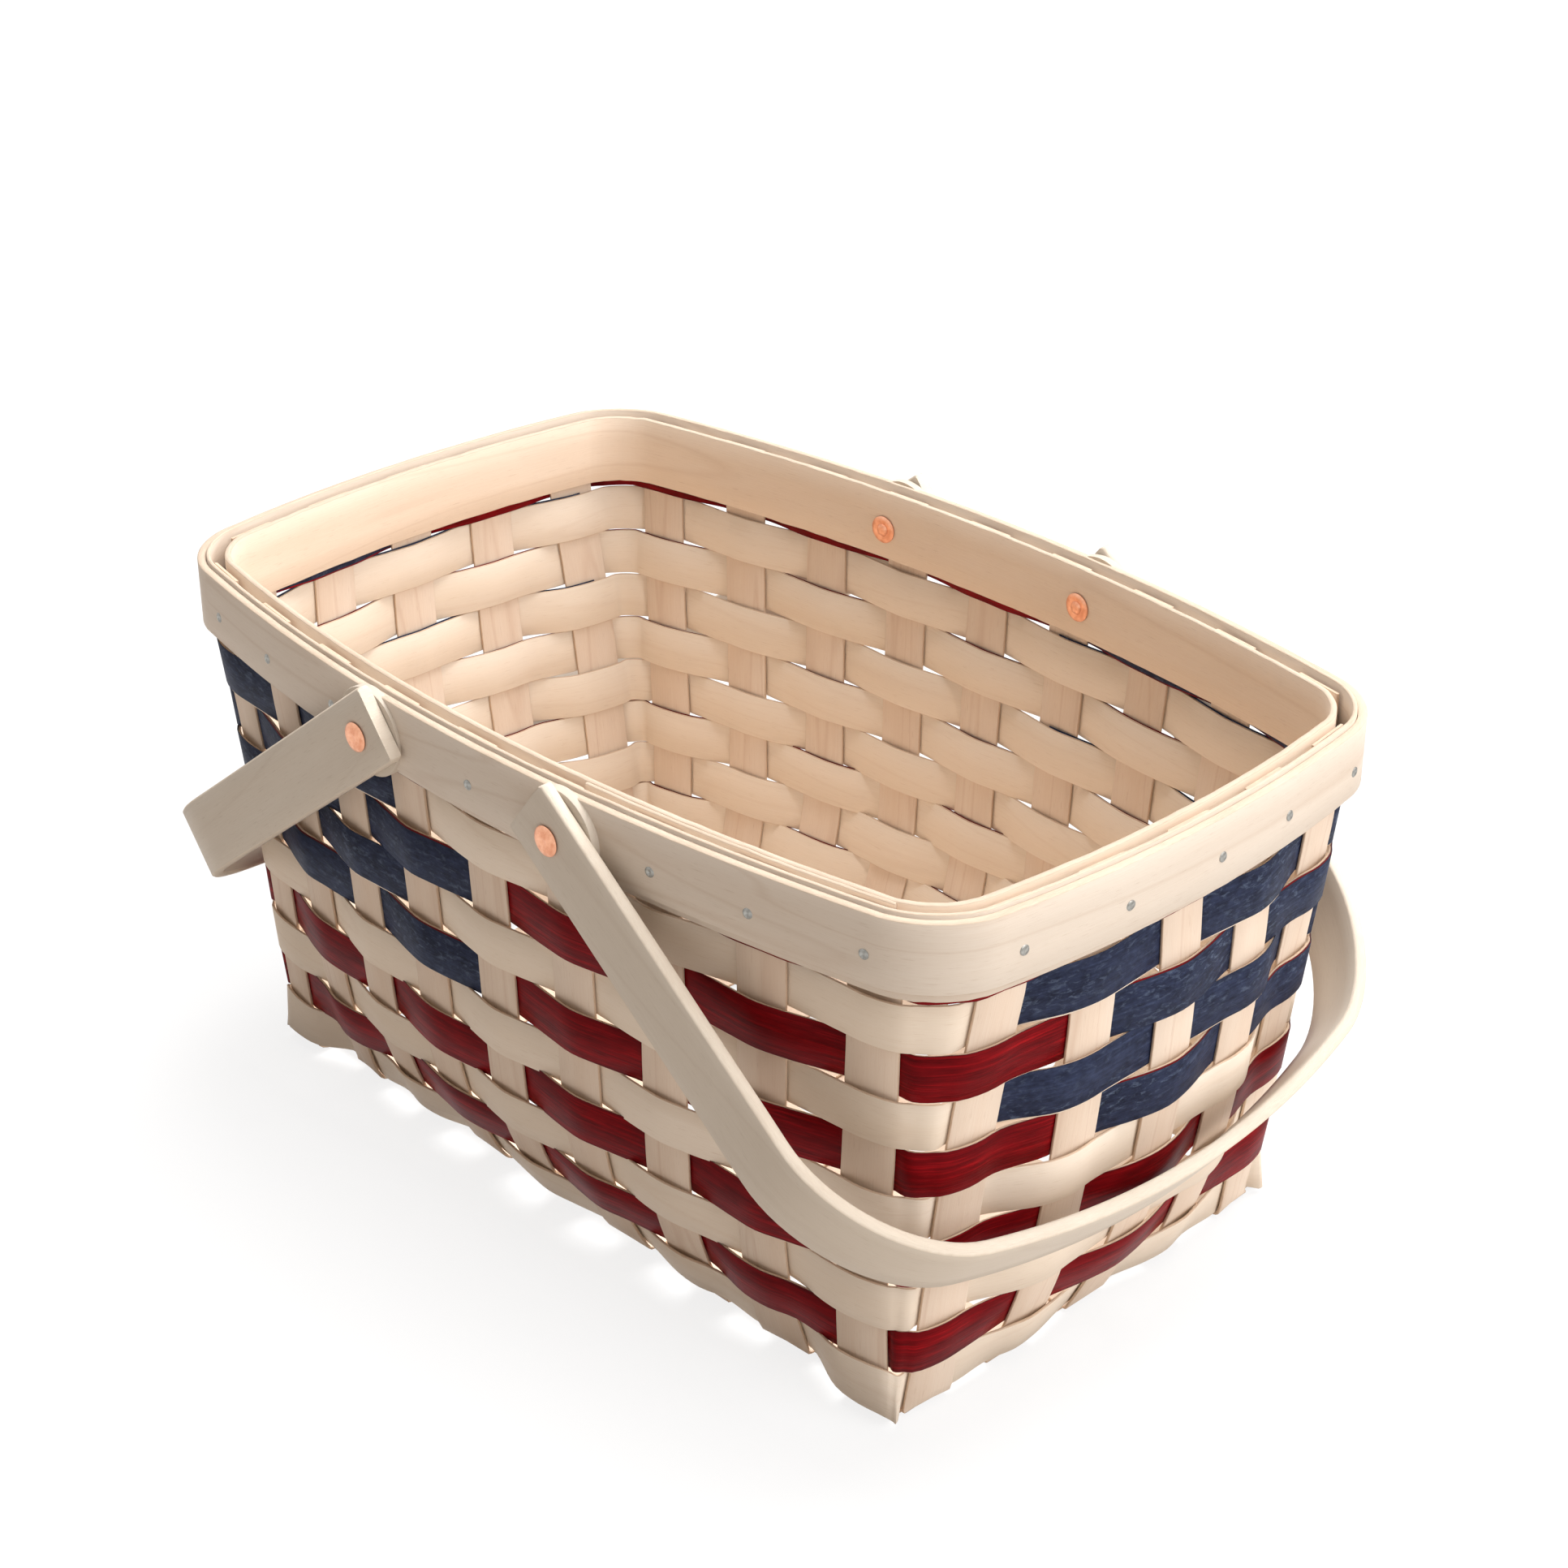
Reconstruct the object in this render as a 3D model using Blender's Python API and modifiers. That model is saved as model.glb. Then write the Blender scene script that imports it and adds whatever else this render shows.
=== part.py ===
"""Woven splint market basket with two swing handles, modelled piece by piece.

Metres, +Z up. The origin is at the bottom centre of the basket. The long sides face -Y and
+Y and the short sides face +X and -X. Every wall piece follows one curved surface, the
weave surface, which runs through the middle of the upright stakes.
"""

import math

import bmesh
import bpy
from mathutils import Vector

OBJECT_NAME = "market_basket"

# Clearances
GAP = 0.0003
MERGE_DISTANCE = 0.00001

# Splints
STAKE_WIDTH = 0.019
STAKE_THICKNESS = 0.0010
WEAVER_THICKNESS = 0.0009
STAKE_EDGE_CLEARANCE = 0.0008
FLOAT_BULGE = 0.0012
LONG_SIDE_STAKES = 9
SHORT_SIDE_STAKES = 5

# Rows of weaving
ROW_COUNT = 10
ROW_PITCH = 0.0184
ROW_SPACING = 0.0004
FIRST_ROW_CLEARANCE = 0.0009
ROWS_BELOW_RIM = 9
WALL_LEVEL_ROWS = (0, 1, 2, 3, 4, 6, 8, ROWS_BELOW_RIM)

# Weave surface, half sizes at the corners of the base and how far the walls flare above them
BASE_HALF_LENGTH = 0.1630
BASE_HALF_WIDTH = 0.0940
END_FLARE = 0.0197
SIDE_FLARE = 0.0055
TAPER_POWER = 2

# Outward bow of the walls between the corners
TOP_END_BOW = 0.0095
BASE_END_BOW = 0.0070
END_BELLY = 0.0120
TOP_SIDE_BOW = 0.0207
BASE_SIDE_BOW = 0.0185
SIDE_BELLY = 0.0010

# How far the foot of the walls is turned in and raised between the corner feet, the rows that
# this reaches up to, and how far the rows sag towards the corners
SIDE_TUCK = 0.0165
END_TUCK = 0.0075
TUCK_ROWS = 3.7
TUCK_POWER = 2
SIDE_TUCK_POWER = 3
END_TUCK_POWER = 2
SIDE_LIFT = 0.0080
LIFT_ROWS = 4.6
CORNER_SAG = 0.0005
BASE_EDGE_POWER = 4
CORNER_FOOT_DROP = 0.0031
CORNER_FOOT_SHARES = (0.8, 1.0, 0.5)
CORNER_FOOT_FLARE = 0.0045
CORNER_FLARE_SHARES = (0.85, 1.0, 0.4)
CORNER_STAKE_RISE = 0.0020
CORNER_STAKE_FLARE = 0.0025
CORNER_STAKE_SHARES = (0.0, 0.5, 1.0)

# Distance from the last stake's edge to the corner of the plan
TOP_LONG_MARGIN = 0.0112
BASE_LONG_MARGIN = 0.0030
TOP_SHORT_MARGIN = 0.0140
BASE_SHORT_MARGIN = 0.0067
CORNER_OPENING_POWER = 3

# Roundness of the woven corner
TOP_CORNER_TENSION_SHARE = 0.40
BASE_CORNER_TENSION_SHARE = 0.80
CORNER_STATION_SHARES = (0.25, 0.5, 0.75)

# Bend of a stake from the wall to the base
BEND_MIDDLE_SHARE = 0.33
BEND_HEIGHT_SHARE = 0.15

# Rim
RIM_RISE = 0.0306
OUTER_BAND_HEIGHT = 0.0241
OUTER_BAND_THICKNESS = 0.0030
BACKING_BAND_THICKNESS = 0.0015
BACKING_PROUD = 0.0012
BACKING_LIP = 0.0042
INNER_BAND_THICKNESS = 0.0022
INNER_BAND_HEIGHT = 0.0268
INNER_BAND_PROUD = 0.0005
RIM_WEAVE_CLEARANCE = 0.0008
RIM_CORNER_RADIUS = 0.0250
STAKE_TOP_DROP = 0.0010
RIM_LONG_STEPS = 10
RIM_SHORT_STEPS = 5
RIM_CORNER_STEPS = 6

# Handles, measured to their outer faces; the pass is how far a level handle's corners
# reach beyond the rim's
PIVOT_DROP = 0.0145
PIVOT_FROM_STAKE_CENTRE = 0.0080
HANDLE_WIDTH = 0.0270
HANDLE_THICKNESS = 0.0046
HANDLE_PASS = 0.0235
HANDLE_GRIP_BOW = 0.0256
HANDLE_END_LENGTH = 0.0132
HANDLE_CORNER_RADIUS = 0.0450
HANDLE_EDGE_EASE = 0.0008
HANDLE_REST_CLEARANCE = 0.0004
HANDLE_EASE_ANGLE = math.radians(60)
REST_SEARCH_STEPS = 40
HANDLE_CORNER_STEPS = 7
HANDLE_GRIP_STEPS = 8

# Spacer discs between handle and rim
SPACER_RADIUS = 0.0158
SPACER_THICKNESS = 0.0016
SPACER_SEGMENTS = 24

# Rivets and burrs
RIVET_SHANK_RADIUS = 0.0020
RIVET_HEAD_RADIUS = 0.0052
RIVET_HEAD_HEIGHT = 0.0014
RIVET_HEAD_EDGE = 0.0005
RIVET_DOME_RADIUS_SHARE = 0.6
RIVET_DOME_HEIGHT_SHARE = 0.85
PEEN_RADIUS = 0.0028
PEEN_HEIGHT = 0.0008
PEEN_TOP_SHARE = 0.7
BURR_RADIUS = 0.0053
BURR_THICKNESS = 0.0009
BURR_EDGE_SHARE = 0.55
BURR_CROWN_SHARE = 0.6
RIVET_SEGMENTS = 16
SHARP_ANGLE = math.radians(35)

# Colours, red green blue, and how rough and metallic each surface is
MAPLE = (0.80, 0.66, 0.50)
PALE_MAPLE = (0.78, 0.68, 0.55)
HANDLE_WOOD = (0.70, 0.62, 0.52)
RED_STAIN = (0.30, 0.012, 0.014)
COPPER = (0.86, 0.42, 0.26)
STAKE_ROUGHNESS = 0.55
WOOD_ROUGHNESS = 0.5
STAIN_ROUGHNESS = 0.4
COPPER_ROUGHNESS = 0.35
COPPER_METALLIC = 1.0

# Values worked out from the sizes above
TOP_HALF_LENGTH = BASE_HALF_LENGTH + END_FLARE
TOP_HALF_WIDTH = BASE_HALF_WIDTH + SIDE_FLARE
LAYER_STEP = STAKE_THICKNESS + GAP
LOW_LAYER = STAKE_THICKNESS / 2
HIGH_LAYER = LOW_LAYER + LAYER_STEP
ROW_FOOT = HIGH_LAYER + STAKE_THICKNESS / 2 + GAP
RIM_FOOT = ROW_FOOT + ROWS_BELOW_RIM * ROW_PITCH
RIM_HEIGHT = RIM_FOOT + RIM_RISE
STAKE_TOP = RIM_HEIGHT - STAKE_TOP_DROP
STAKE_REACH = STAKE_WIDTH / 2 + STAKE_EDGE_CLEARANCE
WEAVE_OFFSET = STAKE_THICKNESS / 2 + GAP + WEAVER_THICKNESS / 2
WEAVE_HALF_DEPTH = WEAVE_OFFSET + WEAVER_THICKNESS / 2
BACKING_INNER_OUTSET = WEAVE_HALF_DEPTH + RIM_WEAVE_CLEARANCE
BACKING_OUTSET = BACKING_INNER_OUTSET + BACKING_BAND_THICKNESS / 2
OUTER_INNER_OUTSET = BACKING_INNER_OUTSET + BACKING_BAND_THICKNESS + GAP
OUTER_OUTSET = OUTER_INNER_OUTSET + OUTER_BAND_THICKNESS / 2
RIM_FACE_OUTSET = OUTER_INNER_OUTSET + OUTER_BAND_THICKNESS
INNER_OUTSET = -(WEAVE_HALF_DEPTH + RIM_WEAVE_CLEARANCE + INNER_BAND_THICKNESS / 2)
INNER_FACE_OUTSET = INNER_OUTSET - INNER_BAND_THICKNESS / 2
WEAVE_CORNER_RADIUS = RIM_CORNER_RADIUS - RIM_FACE_OUTSET
PIVOT_HEIGHT = RIM_HEIGHT - PIVOT_DROP
HOLE_RADIUS = RIVET_SHANK_RADIUS + GAP

FRONT = "front"
RIGHT = "right"
BACK = "back"
LEFT = "left"


# Numbers and the weave surface


def blend(low, high, share):
    """Value between low and high at the given share."""
    return low + (high - low) * share


def wall_levels():
    """Heights at which the walls bend, from the foot of the first row to the stake tops."""
    return [ROW_FOOT + row * ROW_PITCH for row in WALL_LEVEL_ROWS] + [STAKE_TOP]


def wall_share(height):
    """Height as a share of the tapered part of the wall, 0 at the base and 1 at the rim."""
    share = (height - ROW_FOOT) / (RIM_FOOT - ROW_FOOT)
    return min(max(share, 0), 1)


def level_value(rule, height):
    """Value of a rule of the wall share, running straight between the wall levels."""
    levels = wall_levels()
    for low, high in zip(levels, levels[1:]):
        if height <= high:
            share = min(max((height - low) / (high - low), 0), 1)
            return blend(rule(wall_share(low)), rule(wall_share(high)), share)
    return rule(wall_share(levels[-1]))


def half_length(height):
    """Half length of the weave surface at its corners."""
    return level_value(
        lambda share: blend(BASE_HALF_LENGTH, TOP_HALF_LENGTH, share ** TAPER_POWER), height)


def half_width(height):
    """Half width of the weave surface at its corners."""
    return level_value(
        lambda share: blend(BASE_HALF_WIDTH, TOP_HALF_WIDTH, share ** TAPER_POWER), height)


def belly(share):
    """Bulge of a wall between base and rim, 1 at mid height."""
    return 4 * share * (1 - share)


def fading(share, rows):
    """1 at the base, falling evenly to nothing at the given row."""
    return max(1 - share * ROWS_BELOW_RIM / rows, 0)


def tuck(foot_tuck, height):
    """How far a wall is turned in at its middle."""
    return level_value(
        lambda share: foot_tuck * fading(share, TUCK_ROWS) ** TUCK_POWER, height)


def side_lift(height):
    """How far a long side is raised at its middle."""
    return level_value(lambda share: SIDE_LIFT * fading(share, LIFT_ROWS), height)


def corner_sag(height):
    """How far the rows drop at the corners."""
    return level_value(lambda share: CORNER_SAG * belly(math.sqrt(share)), height)


def base_lift(x, y):
    """How far the base is raised off the floor at a point of its plan."""
    along = min(abs(x) / BASE_HALF_LENGTH, 1)
    across = min(abs(y) / BASE_HALF_WIDTH, 1)
    return SIDE_LIFT * (1 - along ** 2) * across ** BASE_EDGE_POWER


def end_bow(height):
    """Outward bow of a short side at its middle."""
    return level_value(
        lambda share: blend(BASE_END_BOW, TOP_END_BOW, share) + END_BELLY * belly(share), height)


def side_bow(height):
    """Outward bow of a long side at its middle."""
    return level_value(
        lambda share: blend(BASE_SIDE_BOW, TOP_SIDE_BOW, share) + SIDE_BELLY * belly(share), height)


def corner_margin(base_margin, top_margin, height):
    """Distance from the last stake's edge to the corner of the plan."""
    return level_value(
        lambda share: blend(base_margin, top_margin, share ** CORNER_OPENING_POWER), height)


def long_side_place(index, height):
    """X of a cross stake's middle, index 0 at the -X end."""
    margin = corner_margin(BASE_LONG_MARGIN, TOP_LONG_MARGIN, height)
    outermost = half_length(height) - margin - STAKE_WIDTH / 2
    return outermost * (2 * index / (LONG_SIDE_STAKES - 1) - 1)


def short_side_place(index, height):
    """Y of a long stake's middle, index 0 at the -Y side."""
    margin = corner_margin(BASE_SHORT_MARGIN, TOP_SHORT_MARGIN, height)
    outermost = half_width(height) - margin - STAKE_WIDTH / 2
    return outermost * (2 * index / (SHORT_SIDE_STAKES - 1) - 1)


def wall_frame(side, along, height, outset=0):
    """Point, tangent and outward direction on a wall.

    The tangent runs anticlockwise round the basket, seen from above. The back and left
    walls are the front and right walls turned half round.
    """
    if side in (BACK, LEFT):
        opposite = FRONT if side == BACK else RIGHT
        point, tangent, outward = wall_frame(opposite, -along, height, outset)
        return Vector((-point.x, -point.y, point.z)), -tangent, -outward
    if side == FRONT:
        bow, span = side_bow(height), half_length(height)
        share = along / span
        turned_in = tuck(SIDE_TUCK, height) * (1 - abs(share) ** SIDE_TUCK_POWER)
        y = -(half_width(height) + outset + bow * (1 - share ** 2) - turned_in)
        raised = side_lift(height) * (1 - share ** 2) - corner_sag(height) * share ** 2
        tangent = Vector((1, 2 * bow * share / span, 0)).normalized()
        point = Vector((along, y, height + raised))
    else:
        bow, span = end_bow(height), half_width(height)
        share = along / span
        turned_in = tuck(END_TUCK, height) * (1 - abs(share) ** END_TUCK_POWER)
        x = half_length(height) + outset + bow * (1 - share ** 2) - turned_in
        tangent = Vector((-2 * bow * share / span, 1, 0)).normalized()
        point = Vector((x, along, height - corner_sag(height)))
    return point, tangent, Vector((tangent.y, -tangent.x, 0))


def stake_frame(side, rule, index, height):
    """Middle, tangent and outward direction of a stake, which keeps one facing all the way up."""
    middle, _, _ = wall_frame(side, rule(index, height), height)
    _, tangent, outward = wall_frame(side, rule(index, STAKE_TOP), STAKE_TOP)
    return middle, tangent, outward


def crossings():
    """Side and place rule of every stake end, anticlockwise from the front left corner."""
    front = [(FRONT, long_side_place, index) for index in range(LONG_SIDE_STAKES)]
    right = [(RIGHT, short_side_place, index) for index in range(SHORT_SIDE_STAKES)]
    back = [(BACK, long_side_place, index) for index in reversed(range(LONG_SIDE_STAKES))]
    left = [(LEFT, short_side_place, index) for index in reversed(range(SHORT_SIDE_STAKES))]
    return front + right + back + left


# Making objects


def new_collection(name):
    """Empty collection linked to the scene."""
    collection = bpy.data.collections.new(name)
    bpy.context.scene.collection.children.link(collection)
    return collection


def new_material(name, colour, roughness, metallic=0):
    """Material of one plain colour."""
    material = bpy.data.materials.new(name)
    material.use_nodes = True
    shader = material.node_tree.nodes["Principled BSDF"]
    shader.inputs["Base Color"].default_value = (*colour, 1)
    shader.inputs["Roughness"].default_value = roughness
    shader.inputs["Metallic"].default_value = metallic
    return material


def mesh_object(name, mesh_builder, collection):
    """Object whose mesh is filled in by the given function."""
    mesh = bpy.data.meshes.new(name)
    shape = bmesh.new()
    mesh_builder(shape)
    shape.to_mesh(mesh)
    shape.free()
    new_object = bpy.data.objects.new(name, mesh)
    collection.objects.link(new_object)
    return new_object


def shade_round(mesh):
    """Shades a mesh smooth and keeps its sharp edges and its border crisp."""
    mesh.shade_smooth()
    mesh.set_sharp_from_angle(angle=SHARP_ANGLE)
    shape = bmesh.new()
    shape.from_mesh(mesh)
    for edge in shape.edges:
        if edge.is_boundary:
            edge.smooth = False
    shape.to_mesh(mesh)
    shape.free()


def hide_guide(guide):
    """Marks an object as a cutter that isn't part of the basket."""
    guide.hide_render = True
    guide.display_type = "WIRE"


def ribbon(name, columns, closed, thickness, collection):
    """Strip of wood through pairs of edge points, thickened evenly to both sides."""

    def build(shape):
        pairs = [[shape.verts.new(point) for point in column] for column in columns]
        following = pairs[1:] + pairs[:1] if closed else pairs[1:]
        for (low, high), (next_low, next_high) in zip(pairs, following):
            shape.faces.new((low, next_low, next_high, high))

    strip = mesh_object(name, build, collection)
    shade_round(strip.data)
    shell = strip.modifiers.new("thickness", "SOLIDIFY")
    shell.thickness = thickness
    shell.offset = 0
    shell.use_even_offset = True
    return strip


def turned(name, profile, segments, collection):
    """Solid turned about its own Z axis from a profile that runs from top to bottom."""

    def build(shape):
        points = [shape.verts.new((radius, 0, height)) for radius, height in profile]
        for start, end in zip(points, points[1:]):
            shape.edges.new((start, end))

    solid = mesh_object(name, build, collection)
    screw = solid.modifiers.new("turn", "SCREW")
    screw.steps = segments
    screw.render_steps = segments
    screw.use_merge_vertices = True
    screw.merge_threshold = MERGE_DISTANCE
    return solid


def cylinder(name, radius, length, segments, collection):
    """Cylinder along its own Z axis, centred on its origin."""

    def build(shape):
        bmesh.ops.create_cone(shape, cap_ends=True, segments=segments,
                              radius1=radius, radius2=radius, depth=length)

    rod = mesh_object(name, build, collection)
    shade_round(rod.data)
    return rod


def point_along(target, direction):
    """Turns an object's Z axis to the given direction."""
    target.rotation_mode = "QUATERNION"
    target.rotation_quaternion = direction.to_track_quat("Z", "Y")


def cut(target, cutter):
    """Cuts one object out of another."""
    boolean = target.modifiers.new("cut " + cutter.name, "BOOLEAN")
    boolean.operation = "DIFFERENCE"
    boolean.solver = "EXACT"
    boolean.object = cutter


# Woven pieces


def flat_intersection(first, first_direction, second, second_direction):
    """Point where two lines of the plan meet."""
    cross = first_direction.x * second_direction.y - first_direction.y * second_direction.x
    offset = second - first
    share = (offset.x * second_direction.y - offset.y * second_direction.x) / cross
    return first + first_direction * share


def corner_points(before, after, height):
    """Points of the rounded corner between two neighbouring stake ends."""
    start_point, start_tangent, _ = stake_frame(*before, height)
    end_point, end_tangent, _ = stake_frame(*after, height)
    start = start_point + start_tangent * STAKE_REACH
    end = end_point - end_tangent * STAKE_REACH
    corner = flat_intersection(start, start_tangent, end, end_tangent)
    tension = blend(BASE_CORNER_TENSION_SHARE, TOP_CORNER_TENSION_SHARE, wall_share(height))
    start_control = start.lerp(corner, tension)
    end_control = end.lerp(corner, tension)
    points = []
    for share in CORNER_STATION_SHARES:
        first = start.lerp(start_control, share)
        middle = start_control.lerp(end_control, share)
        last = end_control.lerp(end, share)
        points.append(first.lerp(middle, share).lerp(middle.lerp(last, share), share))
    return points


def row_edges(row):
    """Heights of the lower and the upper edge of a row's weaver."""
    clearance = FIRST_ROW_CLEARANCE if row == 1 else ROW_SPACING / 2
    foot = ROW_FOOT + (row - 1) * ROW_PITCH + clearance
    top = ROW_FOOT + row * ROW_PITCH - ROW_SPACING / 2
    return foot, top


def lean_factor(place, row):
    """How much further out a row lies on a leaning stake to stay clear of it."""
    foot, top = row_edges(row)
    low, _, outward = stake_frame(*place, foot)
    high, _, _ = stake_frame(*place, top)
    rise = high.z - low.z
    return math.hypot((high - low).dot(outward), rise) / rise


def flare_foot(crossing, outward):
    """Turns the first row's foot out and down over a stake, towards the corner at its end."""
    for point, near_share in zip(crossing, CORNER_STAKE_SHARES):
        point += outward * (CORNER_STAKE_FLARE * near_share)
        point.z += CORNER_STAKE_RISE * (1 - near_share)


def weaver_edge(row, height):
    """Points along one edge of a row's weaver, once round the basket."""
    places = crossings()
    at_foot = height < ROW_FOOT + ROW_PITCH / 2
    bulge = FLOAT_BULGE if row < ROW_COUNT else 0
    points = []
    for order, place in enumerate(places):
        middle, tangent, outward = stake_frame(*place, height)
        passes_outside = (order + row) % 2 == 1
        offset = WEAVE_OFFSET * lean_factor(place, row) * (1 if passes_outside else -1)
        crossing = [middle - tangent * STAKE_REACH + outward * offset]
        if passes_outside:
            crossing.append(middle + outward * (offset + bulge))
        crossing.append(middle + tangent * STAKE_REACH + outward * offset)
        following = places[(order + 1) % len(places)]
        meets_corner = following[0] != place[0]
        if at_foot and passes_outside and (meets_corner or places[order - 1][0] != place[0]):
            flare_foot(crossing if meets_corner else crossing[::-1], outward)
        points.extend(crossing)
        if meets_corner:
            corner = corner_points(place, following, height)
            if at_foot:
                _, next_tangent, _ = stake_frame(*following, height)
                flare = (tangent - next_tangent).normalized() * CORNER_FOOT_FLARE
                corner = [point + flare * flare_share for point, flare_share
                          in zip(corner, CORNER_FLARE_SHARES)]
                for point, foot_share in zip(corner, CORNER_FOOT_SHARES):
                    point.z -= CORNER_FOOT_DROP * foot_share
            points.extend(corner)
    return points


def build_weaver(row, material, collection):
    """One row of weaving, a closed hoop that passes over and under the stakes."""
    foot, top = row_edges(row)
    columns = list(zip(weaver_edge(row, foot), weaver_edge(row, top)))
    weaver = ribbon(f"weaver_{row:02d}", columns, True, WEAVER_THICKNESS, collection)
    weaver.data.materials.append(material)
    return weaver


def wall_stations(side, rule, index):
    """Middle points and tangents of a stake on one wall, from the top down."""
    stations = []
    for height in reversed(wall_levels()):
        point, tangent, _ = stake_frame(side, rule, index, height)
        stations.append((point, tangent))
    return stations


def bend_station(foot, base_end, along):
    """Middle point of the bend from the wall into the base."""
    middle = foot.lerp(base_end, BEND_MIDDLE_SHARE)
    return Vector((middle.x, middle.y, blend(base_end.z, foot.z, BEND_HEIGHT_SHARE))), along


def base_columns(middle_line, layers, places, travel_axis, across):
    """Edge points of a stake where it lies in the base, three pairs at each crossing."""
    half = STAKE_WIDTH / 2
    columns = []
    for layer, place in zip(layers, places):
        ends = []
        for reach in (-STAKE_REACH, STAKE_REACH):
            spot = middle_line + travel_axis * (place + reach)
            edges = (spot - across * half, spot + across * half)
            ends.append([Vector((edge.x, edge.y, layer + base_lift(edge.x, edge.y)))
                         for edge in edges])
        middle = [first.lerp(second, 0.5) for first, second in zip(*ends)]
        columns += [ends[0], middle, ends[1]]
    return columns


def stake_columns(sides, rule, crossing_rule, count, index, travel_axis, low_at_odd):
    """Edge points of a stake that runs up one wall, under the base and up the other."""
    across = Vector((travel_axis.y, -travel_axis.x, 0))
    middle_line = Vector((travel_axis.y, travel_axis.x, 0)) * rule(index, ROW_FOOT)
    layers = [LOW_LAYER if (index + crossing) % 2 == low_at_odd else HIGH_LAYER
              for crossing in range(count)]
    places = [crossing_rule(crossing, ROW_FOOT) for crossing in range(count)]
    base = base_columns(middle_line, layers, places, travel_axis, across)
    near = wall_stations(sides[0], rule, index)
    far = wall_stations(sides[1], rule, index)
    near.append(bend_station(near[-1][0], base[0][0].lerp(base[0][1], 0.5), across))
    far.append(bend_station(far[-1][0], base[-1][0].lerp(base[-1][1], 0.5), -across))
    half = STAKE_WIDTH / 2
    near_columns = [(point - tangent * half, point + tangent * half) for point, tangent in near]
    far_columns = [(point + tangent * half, point - tangent * half) for point, tangent in far]
    return near_columns + base + far_columns[::-1]


def build_cross_stakes(material, collection):
    """Stakes that run across the basket, under the base and up both long sides."""
    stakes = []
    for index in range(LONG_SIDE_STAKES):
        columns = stake_columns((FRONT, BACK), long_side_place, short_side_place,
                                SHORT_SIDE_STAKES, index, Vector((0, 1, 0)), 0)
        stake = ribbon(f"cross_stake_{index + 1}", columns, False, STAKE_THICKNESS, collection)
        stake.data.materials.append(material)
        stakes.append(stake)
    return stakes


def build_long_stakes(material, collection):
    """Stakes that run along the basket, under the base and up both short sides."""
    stakes = []
    for index in range(SHORT_SIDE_STAKES):
        columns = stake_columns((LEFT, RIGHT), short_side_place, long_side_place,
                                LONG_SIDE_STAKES, index, Vector((1, 0, 0)), 1)
        stake = ribbon(f"long_stake_{index + 1}", columns, False, STAKE_THICKNESS, collection)
        stake.data.materials.append(material)
        stakes.append(stake)
    return stakes


# Rim


def bowed(x, y):
    """Moves a point of the plain rounded plan outward with the bow of the walls at the rim."""
    along = min(abs(x) / TOP_HALF_LENGTH, 1)
    across = min(abs(y) / TOP_HALF_WIDTH, 1)
    return (x + math.copysign(along * TOP_END_BOW * (1 - across ** 2), x),
            y + math.copysign(across * TOP_SIDE_BOW * (1 - along ** 2), y))


def rim_corner(middle_x, middle_y, first_angle):
    """Points and outward directions round one corner of the weave surface's top plan."""
    corner = []
    for step in range(RIM_CORNER_STEPS):
        angle = first_angle + math.pi / 2 * step / RIM_CORNER_STEPS
        direction = (math.cos(angle), math.sin(angle))
        corner.append((middle_x + WEAVE_CORNER_RADIUS * direction[0],
                       middle_y + WEAVE_CORNER_RADIUS * direction[1], direction))
    return corner


def rim_outline(outset):
    """Plan of a rim band at the given distance outside the weave surface."""
    straight_x = TOP_HALF_LENGTH - WEAVE_CORNER_RADIUS
    straight_y = TOP_HALF_WIDTH - WEAVE_CORNER_RADIUS
    plain = []
    for step in range(RIM_LONG_STEPS):
        plain.append((straight_x * (2 * step / RIM_LONG_STEPS - 1), -TOP_HALF_WIDTH, (0, -1)))
    plain += rim_corner(straight_x, -straight_y, -math.pi / 2)
    for step in range(RIM_SHORT_STEPS):
        plain.append((TOP_HALF_LENGTH, straight_y * (2 * step / RIM_SHORT_STEPS - 1), (1, 0)))
    plain += rim_corner(straight_x, straight_y, 0)
    half_round = []
    for x, y, direction in plain:
        bowed_x, bowed_y = bowed(x, y)
        half_round.append((bowed_x + outset * direction[0], bowed_y + outset * direction[1]))
    return half_round + [(-x, -y) for x, y in half_round]


def build_band(name, outset, thickness, foot, top, collection):
    """One hoop of the rim."""
    columns = [(Vector((x, y, foot)), Vector((x, y, top))) for x, y in rim_outline(outset)]
    return ribbon(name, columns, True, thickness, collection)


def build_rim(material, collection):
    """The three hoops that clamp the top of the weave."""
    band_foot = RIM_HEIGHT - OUTER_BAND_HEIGHT
    inner_top = RIM_HEIGHT + INNER_BAND_PROUD
    outer = build_band("rim_outer_band", OUTER_OUTSET, OUTER_BAND_THICKNESS,
                       band_foot, RIM_HEIGHT, collection)
    backing = build_band("rim_backing_band", BACKING_OUTSET, BACKING_BAND_THICKNESS,
                         band_foot - BACKING_LIP, RIM_HEIGHT + BACKING_PROUD, collection)
    inner = build_band("rim_inner_band", INNER_OUTSET, INNER_BAND_THICKNESS,
                       inner_top - INNER_BAND_HEIGHT, inner_top, collection)
    for band in (outer, backing, inner):
        band.data.materials.append(material)
    return outer, backing, inner


# Handles and what fastens them


def pivot_x():
    """Distance of a handle's pivot from the middle of the long side."""
    beside_middle = LONG_SIDE_STAKES // 2 + 1
    return long_side_place(beside_middle, STAKE_TOP) + PIVOT_FROM_STAKE_CENTRE


def rim_face_y():
    """Distance of the rim's outer face from the middle plane at the pivot."""
    point, _, _ = wall_frame(BACK, pivot_x(), PIVOT_HEIGHT, RIM_FACE_OUTSET)
    return point.y


def handle_inner_y():
    """Distance of a handle arm's inner face from the middle plane."""
    return rim_face_y() + GAP + SPACER_THICKNESS + GAP


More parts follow.
